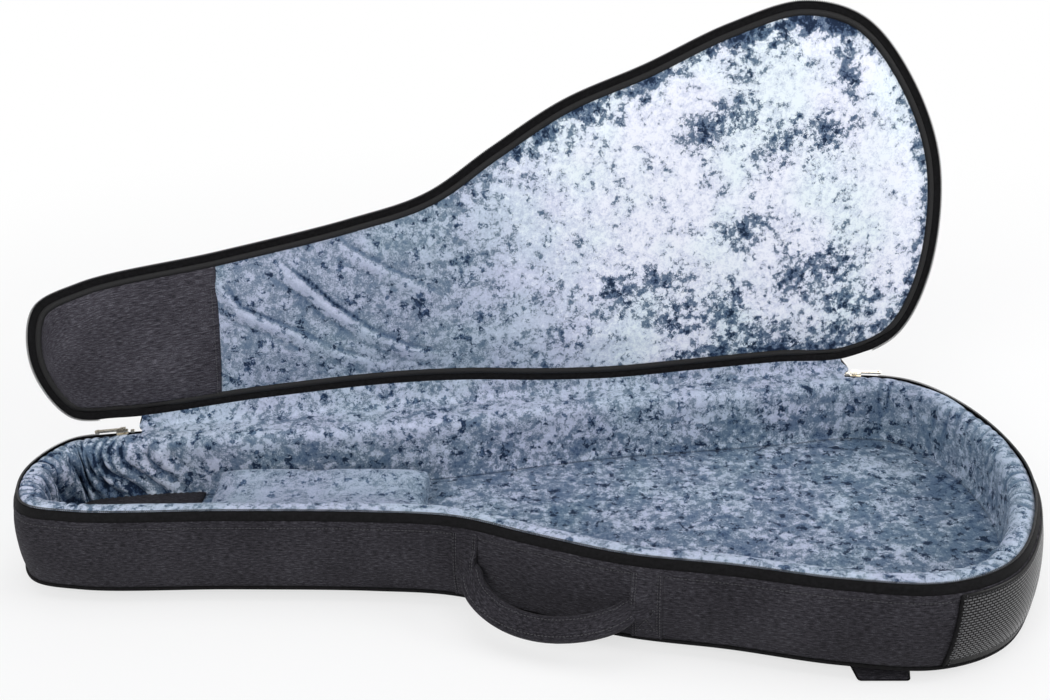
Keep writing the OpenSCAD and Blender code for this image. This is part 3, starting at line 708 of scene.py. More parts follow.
def crushed_velvet(at):
    """Pile pressed flat in flakes: a warped rough noise, raised by the stored pile tone (the lie of the nap, with
    painted shade and painted light added by some pieces), is cut at a sharp step into slate pile, navy in its deepest
    chips, and pale pile, which is paler the stronger the crush. A slow noise tints both towards green or lavender."""
    nap, crush = (at.node("Attribute", {"attribute_name": name}, {}, "Fac") for name in ("nap", "crush"))
    push = at.noise(240, 3, 0.6, "Color")
    bent = at.node("VectorMath", {"operation": "MULTIPLY_ADD"}, {0: push, 1: (0.007,) * 3, 2: at}, "Vector")
    patch = bent.noise(32, 3, 0.6)
    flake = bent.noise(100, 3, 0.55)
    fleck = bent.noise(280, 4, 0.75)
    chip = bent.noise(85, 5, 0.7).between(0.572, 0.592)
    grain = at.noise(900, 2)
    fine = (0.5 + 0.7 * crush) * (fleck - 0.5) + 0.45 * (grain - 0.5)
    rough = crush * (1.2 * (patch - 0.5) + 2.1 * (flake - 0.5))
    tone = nap + rough - 0.55 * (1.2 - nap) * chip + fine
    slate = tone.ramp((0.00, (0.009, 0.020, 0.048)), (0.10, (0.026, 0.052, 0.112)), (0.18, (0.082, 0.130, 0.215)),
                      (0.32, (0.124, 0.176, 0.256)), (0.48, (0.215, 0.270, 0.340)))
    pale = (0.6 * crush + 0.4 * nap + 0.45 * rough + fine).ramp(
        (0.25, (0.300, 0.355, 0.465)), (0.48, (0.425, 0.480, 0.610)), (0.70, (0.570, 0.620, 0.760)),
        (1.00, (0.850, 0.885, 0.945)))
    side = tone.between(0.455, 0.515)
    pile = at.node("Mix", {"data_type": "RGBA"}, {0: side, 6: slate, 7: pale}, 2)
    tint = at.noise(11, 2).ramp((0.40, (0.955, 1.0, 0.975)), (0.60, (1.0, 0.98, 1.0)))
    return {
        "Base Color": at.node("Mix", {"data_type": "RGBA", "blend_type": "MULTIPLY"}, {0: 1.0, 6: pile, 7: tint}, 2),
        "Roughness": 0.85 - 0.3 * tone,
        "Normal": (0.4 * side + 0.5 * fleck + 0.1 * grain).bump(1.2 * MM, 0.6)}


velvet = finish("crushed_velvet", "Object", crushed_velvet, {
    "Sheen Weight": 0.18, "Sheen Roughness": 0.35, "Sheen Tint": (0.75, 0.84, 1.0, 1.0), "Specular IOR Level": 0.2})
lining = carried(rounded(MM * np.array([
    [5.0, 99.5], [5.2, 103.8], [9, 108.2], [17, 109.0], [25.5, 106.0], [29.5, 97], [29.4, 84], [28.8, 66],
    [28.2, 48], [28.0, 38], [30.5, 33.6]]), 40), LINING_COUNT)
turn = np.arange(LINING_COUNT)[:, None] / LINING_COUNT
across = np.linspace(0, 1, 40)[None]
place_x = lining[:, :1, 0]
head = step(-0.40, -0.47, place_x)
tail = step(0.34, 0.45, place_x)
gather = 0.1 + 0.9 * head + 0.8 * tail
pleats = np.cumsum(150 + 100 * head, 0) / LINING_COUNT
pleats = pleats * np.round(pleats[-1]) / pleats[-1] + 1.1 * lumps(turn * 60, across * 2.4, 11, 60)
reach = step(-0.4, 0.35, lumps(np.floor(pleats - 0.5) * 0.77, across * 2.2 + 0 * turn, 12)) * step(0.02, 0.12, across)
reach = reach * (1 - 0.75 * tail * step(0.42, 0.7, across))
crease = gather * (1 - np.abs(np.sin(math.pi * pleats)) ** 0.55) * reach
seam = bell(turn * girth - rim_place(LINING_SEAM_X, True), 1.6 * MM)
swell = 1.3 * lumps(turn * 48, across * 4, 13, 48) + 0.6 * lumps(turn * 62, across * 9, 14, 62)
bag_folds = turn * 90 + 1.3 * across + 0.8 * lumps(turn * 40, across * 2, 16, 40)
fold_side = step(-0.37, -0.43, place_x)
hang = (np.abs(np.sin(math.pi * bag_folds)) ** 0.7 - 0.55) * step(0.25, 0.5, across) * fold_side
relief = MM * (swell * (0.45 + 0.4 * gather) + 9.0 * hang - 4.2 * crease - 1.4 * seam)
relief *= step(0, 0.08, across) * step(0, 0.05, 1 - across)
along = np.gradient(np.concatenate([lining[-1:], lining, lining[:1]]), axis=0)[1:-1]
normal = unit(np.cross(along, np.gradient(lining, axis=1)))
wall_velvet = surface("wall_velvet", lining + relief[..., None] * normal, around=True)
# Pile tone along the wall lining: darker down the inner wall and at the narrow end, darker in the pleat creases and
# between the folds, and paler on the fold ridges and swell tops. This is painted shade and painted light added to the
# lie of the pile.
wall_nap_and_shade = (0.52 + 0.05 * np.cos(across * 7) - 0.17 * step(0.45, 0.9, across) - 0.16 * head * step(0.2, 0.5, across)
            + 0.50 * hang - (0.36 + 0.24 * head) * crease + 0.03 * swell)
nap_and_shade_on(wall_velvet, wall_nap_and_shade, 0.44 + 0.14 * fold_side - 0.1 * tail + 0.06 * step(0.4, 0.6, across))
dress(wall_velvet, "base", velvet, "velvet", "wall_lining", thick=1.6 * MM)
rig.padded(wall_velvet, fill=0.7)

# Floor lining: the same velvet, laid loose over the floor foam and tucked under the wall lining.
# It keeps shallow swells where it isn't glued.


def swells(flat, *layers):
    """Lumps over a panel, summed: each layer has its height, its size and its seed."""
    return sum(high * lumps(flat[..., 0] / size, flat[..., 1] / size, seed) for high, size, seed in layers)


edge = inside_rim(27.5 * MM)
flat = panel(edge, 260, 101)
depth = edge_depth(flat, edge)
swell = swells(flat, (1.5, 0.06, 21), (0.7, 0.022, 22))
floor_rise = swell * step(0, 30 * MM, depth) + 1.2 * step(0, 15 * MM, depth) - 1.0
floor_velvet = surface("floor_velvet", np.dstack([flat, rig.box("floor_lining")[1].z + MM * floor_rise]))
# The floor's pile tone is painted shade: set darker all over than the wall lining, darker still near the wall, and
# paler on the tops of the swells.
nap_and_shade_on(floor_velvet, 0.33 + 0.08 * step(0, 50 * MM, depth) + 0.05 * swell, 0.46)
dress(close_poles(floor_velvet), "base", velvet, "velvet", "floor_lining", thick=1.6 * MM)
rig.sheet(floor_velvet, flat=(1.035, 0.39), held="laid", rests_on=["base_floor_foam"], area=0.287)

# Head pad: a thin charcoal pad on the floor at the narrow end.
# It is foam inside a sewn cover, and its free edge is rounded.
pad_low, pad_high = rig.box("headstock_floor_pad")


def quarter_round(depth, reach):
    """Rise of a quarter circle from 0 at an edge to 1 at a reach inside it."""
    return np.sqrt(np.clip(1 - (1 - np.clip(depth / reach, 0, 1)) ** 2, 0, 1))


def pad_across(flat, depth, low, seam, high, soft, pressed=0):
    """Closed pad over a panel: from the seam height at the edge, the top and the underside part as quarter rounds
    of the given reach, less what is pressed in. The section runs over the top and back underneath."""
    rise = quarter_round(depth, soft)
    top = np.dstack([flat, seam + (high - seam) * rise - pressed * rise])
    under = np.dstack([flat, seam - (seam - low) * rise + pressed * rise])[:, ::-1]
    return np.concatenate([top, under[:, 1:-1]], 1)


edge = inside_rim(30.5 * MM)
flat = panel(edge, 300, 61)
flat = flat[flat[:, 0, 0] < pad_high.x]
depth = np.minimum(edge_depth(flat, edge), pad_high.x - flat[..., 0])
points = pad_across(flat, depth, pad_low.z, 0.75 * pad_low.z + 0.25 * pad_high.z, pad_high.z, 9 * MM)
points = np.concatenate([points, points[-1:].mean(1, keepdims=True) + 0 * points[-1:]])
head_pad = close_poles(surface("headstock_pad", points, tube=True, lengths=(
    np.append(flat[:, 0, 0], flat[-1, 0, 0]), np.linspace(-0.1, 0.26, points.shape[1] + 1))))
dress(head_pad, "base", charcoal, "charcoal_fabric", "headstock_floor_pad")
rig.padded(head_pad, fill=0.7)

# Cradle: a foam block in a velvet cover across the narrow part, with a shallow trough along its top.
# The cover is blown up as sewn cloth, so that its faces crown and its edges stay soft.
cradle_low, cradle_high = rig.box("cradle_cover")
cradle_mid, cradle_size = (cradle_low + cradle_high) / 2, cradle_high - cradle_low
BLOW_FRAMES = 20


def points_of(mesh):
    """The vertices of a mesh as rows."""
    rows = np.empty(len(mesh.vertices) * 3, np.float32)
    mesh.vertices.foreach_get("co", rows)
    return rows.reshape(-1, 3)


def stuffed(made, voxel, pressure, reach):
    """Swells a closed pad as sewn cloth: voxel remesh, Cloth with inner pressure and no gravity for some frames,
    and no point further than reach from where it began."""
    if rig.quick():
        return
    even = made.modifiers.new("even", "REMESH")
    even.mode, even.voxel_size = "VOXEL", voxel
    made.data = bpy.data.meshes.new_from_object(made.evaluated_get(bpy.context.evaluated_depsgraph_get()))
    made.modifiers.clear()
    start = points_of(made.data)
    cloth = made.modifiers.new("cloth", "CLOTH")
    cloth.settings.use_pressure = True
    cloth.settings.uniform_pressure_force = pressure
    cloth.settings.effector_weights.gravity = 0
    for number in range(1, BLOW_FRAMES + 1):
        bpy.context.scene.frame_set(number)
    way = points_of(made.evaluated_get(bpy.context.evaluated_depsgraph_get()).to_mesh()) - start
    far = np.maximum(np.linalg.norm(way, axis=1, keepdims=True), 1e-9)
    made.modifiers.clear()
    made.data.vertices.foreach_set("co", (start + way * np.minimum(1, reach / far)).ravel())
    made.data.polygons.foreach_set("use_smooth", np.ones(len(made.data.polygons), bool))
    bpy.context.scene.frame_set(1)


# Half of the cover's section from the middle of the trough to the rear foot, as shares of half width and height
trough_half = np.array([[0.3, 0.88], [0.6, 0.985], [0.86, 1], [1, 0.7], [1, 0]])
section = np.vstack([trough_half[::-1] * (-1, 1), [(0, 0.84)], trough_half])
section = rounded(section * (cradle_size.y / 2 - 3 * MM, cradle_size.z - 4 * MM), 60)
foot = np.linspace(section[-1, 0], section[0, 0], 22)[1:-1]
section = np.vstack([section, np.stack([foot, np.zeros(20)], 1)])
slide = np.linspace(-1, 1, 70)[:, None]
close = np.clip(1 - np.abs(slide) ** 18, 0, 1) ** 0.25
rows_y = cradle_mid.y + section[None, :, 0] * (0.9 + 0.1 * close) * (close > 0)
rows_z = cradle_low.z + 1 * MM + section[None, :, 1] * (0.78 + 0.22 * close) * (close > 0)
rows_x = cradle_mid.x + (cradle_size.x / 2 - 2 * MM) * slide
cradle = close_poles(surface("neck_cradle", grid_of(rows_x, rows_y, rows_z), tube=True, flip=True))
stuffed(cradle, 5 * MM, 4.0, 4 * MM)
at = points_of(cradle.data)
# The cover's pile tone is painted paler towards its top and darker low down: painted light and painted shade, with a
# random swell.
cradle_nap_and_shade = 0.45 + 0.06 * (at[:, 2] - cradle_mid.z) / (cradle_size.z / 2) + swells(at, (0.05, 0.05, 31))
nap_and_shade_on(cradle, cradle_nap_and_shade, 0.22)
dress(cradle, "base", velvet, "velvet", "cradle_cover", "cradle_foam")
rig.padded(cradle, fill=0.8)

# Base zip: a black woven tape sewn under the hem, standing in a soft curve to the rim.
# A nylon coil is sewn along its upper edge, from one slider round the front to the other.
COIL_ENDS = (-486 * MM, 434 * MM)
COIL_PITCH = 2.2 * MM
COIL_WIDE, COIL_TALL, COIL_WIRE = 0.95 * MM, 0.75 * MM, 0.42 * MM
rim_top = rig.box("zipper_tape_base")[1].z
base_tape = sleeve("zip_tape_base", carried(rounded(MM * np.array([
    [0.6, 95.5], [0.1, 97.5], [0.7, 101], [2.2, 105], [3.4, 107.4], [4.8, 107.6], [5.2, 106.2], [3.4, 103],
    [1.6, 97], [1.5, 95.5]]), 26)), 26 * MM)
dress(base_tape, "base", black_cloth, "black_tape", "zipper_tape_base")
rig.sheet(base_tape, flat=(girth, 0.0135), held="stretched", rests_on=["side_wall_cloth"])
coil_from, coil_to = rim_place(COIL_ENDS[0], False) - girth, rim_place(COIL_ENDS[1], False)
black_nylon = finish("black_nylon", "Object", grained(
    700, 2, (0.010, 0.010, 0.011), (0.024, 0.024, 0.026), (0.28, 0.2), 0.06 * MM), {"Specular IOR Level": 0.5})


def as_drawn(points):
    """Leaves points where they are."""
    return points


def coil_turns(length):
    """Angles along a coil of that length, eight to a turn."""
    return np.arange(int(length / COIL_PITCH * 8)) / 8 * 2 * math.pi


def coil_along(name, inset, height, turned=as_drawn):
    """Nylon coil round the rim: a helix of oval turns at a steady pitch, with round wire along it."""
    angle = coil_turns(coil_to - coil_from)
    at = coil_from + angle / (2 * math.pi) * COIL_PITCH
    line = turned(on_rim(at, inset - COIL_WIDE * np.cos(angle), height + COIL_TALL * np.sin(angle)))
    return cord_along(name, line, unit(line - turned(on_rim(at, inset, height))), COIL_WIRE, 5)


base_coil = coil_along("zip_coil_base", 4.9 * MM, rim_top + 1.3 * MM)
dress(base_coil, "base", black_nylon, "zip_coil", "zipper_coil_base")


def pale_metal(at):
    """Pale plated metal, tumbled: faint scratches and rounded wear in the gloss."""
    scratch = at.stretched((1, 6, 1)).noise(500, 4, 0.6)
    cloud = at.noise(160, 2)
    return {"Base Color": cloud.ramp((0.3, (0.62, 0.55, 0.43)), (0.7, (0.80, 0.74, 0.62))),
            "Roughness": 0.16 + 0.22 * scratch, "Normal": scratch.bump(0.05 * MM)}


plated = finish("pale_plated_metal", "Object", pale_metal, {"Metallic": 1.0})


def refinish(material, *names):
    """Gives CAD nodes that keep their own shape a procedural material."""
    for name in names:
        worn = frame["nodes"][name].data.materials
        worn.clear()
        worn.append(material)


refinish(plated, "zip_stops", "zip_slider_left", "zip_slider_right", "zip_pull_left", "zip_pull_right")

# Handle bands: two charcoal strips sewn down the front wall over the ends of the carry handle.
# Each is edge stitched twice, lifts where the handle comes out, and is box stitched below it.
BAND_T = 2.0 * MM
BOX_LOW, BOX_HIGH = 30 * MM, 56 * MM
joints = {joint["name"]: joint for joint in frame["joints"]}
handle_z = joints["handle_swing"]["pos_m"][2]


def band_lift(share, height, mouth):
    """Height of a band's face over the wall: its thickness with rolled edges, a groove inside each along the
    stitches, and the swell over the handle's end, which is open towards the handle's side."""
    flatness = np.clip(1 - np.abs(2 * share - 1) ** 10, 0, 1) ** 0.5
    inside = np.minimum(share, 1 - share)
    hem = 0.9 * MM * bell(inside - 0.06, 0.035) - 0.8 * MM * bell(inside - 0.14, 0.03)
    swell = 6.5 * MM * np.exp(-((height - handle_z) / (15 * MM)) ** 4) * step(0.1, 0.8, share if mouth else 1 - share)
    return (BAND_T + 0.2 * MM) * flatness - 0.3 * MM + hem + swell * (0.4 + 0.6 * flatness)


band_z = np.linspace(18.4, 97.2, 60)[None] * MM
row_z = np.linspace(22, 94, 60) * MM
share = np.linspace(0, 1, 41)[:, None]
tuck = step(18 * MM, 21 * MM, band_z) * (1 - step(96 * MM, 97.2 * MM, band_z))
for side, x0, x1, mouth in (("left", -62 * MM, -34 * MM, True), ("right", 116 * MM, 147 * MM, False)):
    start, wide = rim_place(x0, True), rim_place(x1, True) - rim_place(x0, True)
    strip = surface(f"handle_band_{side}_cloth", on_rim(
        start + wide * share, wall_inset(band_z) - band_lift(share, band_z, mouth) * (0.5 + 0.5 * tuck), band_z),
        lengths=(start + wide * share[:, 0], band_z[0]))
    dress(strip, "base", charcoal, "charcoal_fabric", f"handle_band_{side}", thick=1.3 * MM)
    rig.sheet(strip, flat=(wide, 0.079), held="stretched", rests_on=["side_wall_cloth"])
    for place in (0.09, 0.17, 0.83, 0.91):
        line = on_rim(start + wide * place, wall_inset(row_z) - band_lift(place, row_z, mouth) - 0.1 * MM, row_z)
        stitched(f"band_{side}_stitches_{int(place * 100)}", line, outward_at(start), "base")
    box = np.array([[0.22, BOX_LOW], [0.78, BOX_HIGH], [0.22, BOX_HIGH], [0.78, BOX_LOW], [0.22, BOX_LOW]])
    x, z = evenly(box * (wide, 1), 160).T
    line = on_rim(start + x, wall_inset(z) - band_lift(x / wide, z, mouth) - 0.1 * MM, z)
    stitched(f"band_{side}_box_stitches", line, outward_at(start + x), "base")

# Carry handle: a padded charcoal grip that hangs from under the two bands, with a ridge seam on each edge.
# Its ends stay sewn to the wall, so they bend as the grip swings.
HANDLE_DROP = 41 * MM
HANDLE_LEAN = math.radians(48)
GRIP_COUNT = 150
GRIP_HALF = 13 * MM
GROOVE_AT = 0.62


def on_front(x, out, height):
    """Point at a place along the front wall and a distance out from the rim."""
    return on_rim(rim_place(x * MM, True), -out * MM, height)


handle_p, handle_q = on_front(-36, 13, handle_z), on_front(118, 13, handle_z)
handle_u = np.array(joints["handle_swing"]["axis"])
handle_down = np.array([*(math.sin(HANDLE_LEAN) * np.array([handle_u[1], -handle_u[0]])), -math.cos(HANDLE_LEAN)])
share = (0.5 - 0.5 * np.cos(np.linspace(0.14, math.pi - 0.14, 60)))[:, None]
hang = handle_p + share * (handle_q - handle_p) + HANDLE_DROP * np.sin(math.pi * share**0.85) ** 0.6 * handle_down
grip_line = rounded(np.vstack([
    on_front(-52, 8, handle_z - 1 * MM), on_front(-40, 12.5, handle_z - 3 * MM), hang,
    on_front(122, 12.5, handle_z - 3 * MM), on_front(134, 8, handle_z - 1 * MM)]), GRIP_COUNT, 4)
grip_run = run_of(grip_line) / run_of(grip_line)[-1]
grip_ahead = ahead_of(grip_line)
grip_wide = unit(np.cross(grip_ahead, np.cross(handle_u, handle_down)))
grip_face = np.cross(grip_wide, grip_ahead)
full = (step(0.02, 0.2, grip_run) * step(0.02, 0.2, 1 - grip_run))[:, None]
wide = GRIP_HALF * (0.86 + 0.14 * full)
thick = MM * (2.4 + 4.2 * full)
angle = turns(40)
square = (np.abs(np.cos(angle)) ** 3.2 + np.abs(np.sin(angle)) ** 3.2) ** (-1 / 3.2)
spread = square * np.sin(angle)
groove = 1.3 * MM * (bell(spread - GROOVE_AT, 0.07) + bell(spread + GROOVE_AT, 0.07)) * full
crease = 0.35 * MM * lumps(grip_run[:, None] * 34, angle[None] / math.pi * 4, 41)
face = thick * square * np.cos(angle) - (groove - crease) * np.sign(np.cos(angle))
closing = np.ones((GRIP_COUNT, 1))
closing[[0, -1]] = 0
grip_points = (grip_line[:, None] + (closing * wide * spread)[..., None] * grip_wide[:, None]
               + (closing * face)[..., None] * grip_face[:, None])
grip = close_poles(surface("carry_handle_grip", grip_points, tube=True, flip=True, lengths=(
    grip_run * 0.3, np.linspace(0, 0.08, 41))))
grip.data.materials.append(charcoal)
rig.replaces(grip, "carry_handle")
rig.slot(grip, "charcoal_fabric")
bend = {"start": handle_p + 1 * MM * handle_down, "end": handle_p + 16 * MM * handle_down}
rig.blend(grip, "base", "handle", **bend)
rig.padded(grip, fill=0.75)
free = slice(12, GRIP_COUNT - 12)
for number, place in enumerate((GROOVE_AT, -GROOVE_AT)):
    for facing, name in ((1, "out"), (-1, "in")):
        line = grip_line + place * wide * grip_wide + facing * (thick * 0.97 - 0.4 * MM) * grip_face
        row = stitched(f"handle_stitches_{number}_{name}", line[free], facing * grip_face[free], "handle")
        row.parent = None
        del row["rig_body"]
        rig.blend(row, "base", "handle", **bend)

# Back pad: a cushion of foam under black spacer mesh that the bag lies on, pressed flat along two channels.
# Its edge is bound with tape and sewn to the back panel.
PAD_LOW, PAD_HIGH = 0.15 * MM, back_z - 0.1 * MM


def air_mesh(at):
    """Spacer mesh: round dark holes on a close grid in a black knit that is paler on its ridges."""
    hole = at.node("TexVoronoi", {"voronoi_dimensions": "2D"}, {"Vector": at, "Scale": 240.0, "Randomness": 0.0})
    knit = at.noise(1100, 2)
    tone = 1.1 * hole + 0.3 * knit
    return {"Base Color": tone.ramp((0.35, (0.003, 0.003, 0.003)), (0.85, (0.026, 0.026, 0.028))),
            "Roughness": 0.55 + 0.35 * knit, "Normal": tone.bump(0.9 * MM)}


mesh_cloth = finish("black_air_mesh", "Object", air_mesh, {"Specular IOR Level": 0.3})


def soft_outline(corners, reach=9 * MM):
    """Closed outline through corners, each point averaged with its neighbours within reach, which rounds it."""
    corners = MM * np.array(corners, float)
    line = evenly(np.vstack([corners, corners[:1]]), 801)
    near = max(1, int(reach / run_of(line)[1]))
    return np.mean([np.roll(line[:-1], k, 0) for k in range(-near, near + 1)], 0)


def cushion(name, outline, low, high, soft, size, channels=(), place=as_drawn, flip=False):
    """Padded panel inside an outline, with channels pressed across it at those x, put in place by a function."""
    flat = panel(outline, *size)
    low, high = (np.broadcast_to(z(flat) if callable(z) else z, flat.shape[:2]) for z in (low, high))
    pressed = sum((1.7 * MM * bell(flat[..., 0] - x * MM, 2.4 * MM) for x in channels), np.zeros(flat.shape[:2]))
    points = pad_across(flat, edge_depth(flat, outline), low, 0.4 * low + 0.6 * high, high, soft, pressed)
    return close_poles(surface(name, place(points), tube=True, flip=flip, lengths=(
        flat[:, 0, 0], np.linspace(0, 2 * np.ptp(outline[:, 1]), points.shape[1] + 1))))


def bound_edge(name, outline, height, tall, body, place=as_drawn, flip=False):
    """Tape folded over an edge: an oval section, flat against the pad, carried round its outline."""
    ahead = np.roll(outline, -1, 0) - np.roll(outline, 1, 0)
    out = unit(np.stack([ahead[:, 1], -ahead[:, 0], 0 * ahead[:, 0]], 1))
    angle = turns(10)[None, :, None]
    height, tall = (np.broadcast_to(v, len(outline)) for v in (height, tall))
    ring = (np.column_stack([outline, height])[:, None] + 1.1 * MM * np.cos(angle) * out[:, None]
            + tall[:, None, None] * np.sin(angle) * np.array([0, 0, 1.0]))
    made = sleeve(name, place(ring), 11 * MM, run_of(outline)[-1], not flip)
    return dress(made, body, black_cloth, "black_tape")


def both_sides(half):
    """Outline that is the same on both sides of the bag's middle line, from its half."""
    return [*half, *((x, -y) for x, y in half[::-1] if y)]


back_outline = soft_outline(both_sides([
    [-24, 0], [-22, -8], [-12, -14], [330, -112], [344, -98], [347, 0]]))
back_cushion = cushion("back_pad_mesh", back_outline, PAD_LOW, PAD_HIGH, 9 * MM, (200, 61), (118, 232))
dress(back_cushion, "base", mesh_cloth, "black_pad", "back_pad")
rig.padded(back_cushion, fill=0.7)
bound_edge("back_pad_binding", back_outline, 6.0 * MM, 2.4 * MM, "base")

# Strap yoke: a charcoal pad above the back pad that the two shoulder straps are sewn into.
# It is foam in a sewn cover, bound all round.
yoke_outline = soft_outline(both_sides([
    [-194, 0], [-190, -34], [-178, -46], [-52, -80], [-40, -74], [-37, 0]]))
yoke = cushion("strap_yoke_pad", yoke_outline, PAD_LOW, PAD_HIGH, 8 * MM, (120, 61))
dress(yoke, "base", charcoal, "charcoal_fabric", "strap_yoke")
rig.padded(yoke, fill=0.7)
bound_edge("strap_yoke_binding", yoke_outline, 6.0 * MM, 2.2 * MM, "base")

# Shoulder straps: padded mesh straps that taper to webbing, each sewn to the yoke by a short cloth tongue.
# A ladder lock joins the webbing to the pad, and a flat hook on its end holds in the ring of an anchor tab.
STRAP_START, STRAP_END, RING_AT = (MM * np.array(p, float) for p in ((-34, 46), (262, 150), (342, 179)))
STRAP_LENGTH = np.linalg.norm(STRAP_END - STRAP_START) / MM
WEBBING_LENGTH = np.linalg.norm(RING_AT - STRAP_END) / MM
STRAP_LOW = 0.4 * MM
black_plastic = finish("moulded_black_plastic", "Object", grained(
    1500, 3, (0.011, 0.011, 0.012), (0.019, 0.019, 0.020), (0.36, 0.2), 0.12 * MM), {"Specular IOR Level": 0.5})


def laid_on(start, towards, side):
    """Function that lays points, given along X, on the line from start towards a point, on one side of the bag."""
    ahead = unit(towards - start)

    def place(points):
        x, y, z = np.moveaxis(points, -1, 0)
        return np.stack([start[0] + x * ahead[0] - y * ahead[1], side * (start[1] + x * ahead[1] + y * ahead[0]),
                         z + STRAP_LOW], -1)

    return place


def strip_along(name, path, width, place, flip):
    """Flat strip: a path of x and z with its corners rounded, carried straight across the width."""
    path = rounded(MM * np.array(path, float), 40)
    across = np.linspace(-width / 2, width / 2, 9)
    points = grid_of(path[:, None, 0], across[None], path[:, None, 1])
    return surface(name, place(points), flip=flip, lengths=(run_of(path), across))


strap_outline = soft_outline([
    [8, 0], [16, -23], [STRAP_LENGTH - 40, -29], [STRAP_LENGTH - 10, -16.5], [STRAP_LENGTH, -12.5],
    [STRAP_LENGTH + 1, 0], [STRAP_LENGTH, 12.5], [STRAP_LENGTH - 10, 16.5], [STRAP_LENGTH - 40, 29], [10, 23]], 6 * MM)
SIDES = ((-1, "front"), (1, "rear"))
for side, name in SIDES:
    body = f"strap_{name}"
    along, further = laid_on(STRAP_START, STRAP_END, side), laid_on(STRAP_END, RING_AT, side)
    pad = cushion(f"shoulder_strap_{name}_pad", strap_outline, 0.0, 8.8 * MM, 7 * MM, (180, 41), (80, 160, 240),
                  along, side < 0)
    dress(pad, body, mesh_cloth, "black_pad", f"shoulder_strap_{name}")
    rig.padded(pad, fill=0.7)
    bound_edge(f"shoulder_strap_{name}_binding", strap_outline, 5.3 * MM, 2.0 * MM, body, along, side < 0)
    tongue = strip_along(f"shoulder_strap_{name}_tongue", [[-16, 5.2], [0, 4.4], [26, 5.2]], 38 * MM, along, side < 0)
    thicken(tongue, 2.2 * MM).data.materials.append(black_cloth)
    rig.slot(tongue, "black_pad")
    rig.blend(tongue, "base", body, start=along(np.array([-3 * MM, 0, 0])), end=along(np.array([7 * MM, 0, 0])))
    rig.sheet(tongue, flat=(0.042, 0.038), held="stretched", rests_on=["strap_yoke_pad"])
    webbing = strip_along(f"strap_webbing_{name}_tape", [
        [7.6, 3.0], [7.6, 5.8], [9.4, 6.6], [14.6, 6.6], [16.6, 5.8], [17, 3.2], [20, 2.9], [26, 3.4], [58, 3.3],
        [64, 2.6], [70, 3.2]], 25 * MM, further, side < 0)
    dress(webbing, body, black_cloth, "black_pad", f"strap_webbing_{name}", thick=1.0 * MM)
    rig.sheet(webbing, flat=(0.069, 0.025), held="stretched", rests_on=[f"ladder_lock_{name}"])
    refinish(black_plastic, f"ladder_lock_{name}", f"strap_hook_{name}")
refinish(plated, "anchor_rings")

# Anchor tabs: folded wedges of charcoal cloth, bound in black, that come out from under the lower edge.
# Each has a loop through a metal ring, and is hollow underneath where the strap's hook lies.
TAB_SEAM, TAB_OUT, TAB_THIN = 176 * MM, 226 * MM, 3 * MM
tab_outline = soft_outline([[319, 170], [352, 168], [384, 170], [384, 176], [375, 226], [328, 226], [319, 176]], 3 * MM)


def tab_top(flat):
    """Upper face of the wedge: full height at the seam, thinning in a straight line to its outer edge."""
    return PAD_HIGH - (PAD_HIGH - TAB_THIN) * np.clip((flat[..., 1] - TAB_SEAM) / (TAB_OUT - TAB_SEAM), 0, 1)


def tab_hollow(flat):
    """Underside: on the floor, and raised over the hook and the ring, a rectangle along the webbing."""
    ahead = unit(RING_AT - STRAP_END)
    x, y = ((flat - STRAP_END) @ ahead) / MM, ((flat - STRAP_END) @ np.array([-ahead[1], ahead[0]])) / MM
    over = 1 - step(WEBBING_LENGTH + 8, WEBBING_LENGTH + 9.5, x)
    return PAD_LOW + 5.9 * MM * over * (1 - step(15.2, 16.6, np.abs(y)))


tab_seam = 0.6 * tab_top(tab_outline) + 0.4 * tab_hollow(tab_outline)
tab_tall = 0.5 * (tab_top(tab_outline) - tab_seam)
loop_path = np.array([[1.6, 6.2], [3.2, 2.0], [6.5, 1.4], [9.6, 2.0], [10.4, 6.2]]) + (WEBBING_LENGTH, 0)
for side, name in SIDES:
    def mirrored(points):
        return points * np.array([1, side, 1])

    tab = cushion(f"strap_anchor_{name}_tab", tab_outline, tab_hollow, tab_top, 4 * MM, (90, 71),
                  place=mirrored, flip=side < 0)
    dress(tab, "base", charcoal, "charcoal_fabric", f"strap_anchor_{name}")
    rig.padded(tab, fill=0.3)
    bound_edge(f"strap_anchor_{name}_binding", tab_outline, tab_seam, tab_tall, "base", mirrored, side < 0)
    loop = strip_along(f"strap_anchor_{name}_loop", loop_path, 18 * MM, laid_on(STRAP_END, RING_AT, side), side > 0)
    dress(loop, "base", black_cloth, "black_tape", thick=0.9 * MM)
    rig.sheet(loop, flat=(0.0155, 0.018), held="folded", rests_on=["anchor_rings"])

# Lid shell: a charcoal top panel, slightly crowned, sewn through a piping to a narrow side wall.
# It is drawn closed over the rim and turned open about the fabric hinge.
lid_hinge = joints["lid_hinge"]
hinge_start = np.array(lid_hinge["pos_m"])
hinge_dir = -unit(np.array(lid_hinge["axis"]))
lid_z = 2 * hinge_start[2] - rim_top
open_turn = math.radians(lid_hinge["range_deg"][0])
LID_DEPTH = 28 * MM
SEAM_Z = 17.6 * MM


def opened(points):
    """Closed-lid points turned about the hinge line by the open angle: what lies along the line stays, and what
    lies across it turns, by cosine and sine."""
    arm = points - hinge_start
    along = (arm @ hinge_dir)[..., None] * hinge_dir
    return (hinge_start + along + (arm - along) * math.cos(open_turn)
            + np.cross(hinge_dir, arm) * math.sin(open_turn))


def above(height, corners, count):
    """Rounded section, given in millimetres over a height."""
    return rounded(MM * np.array(corners), count) + (0, height)


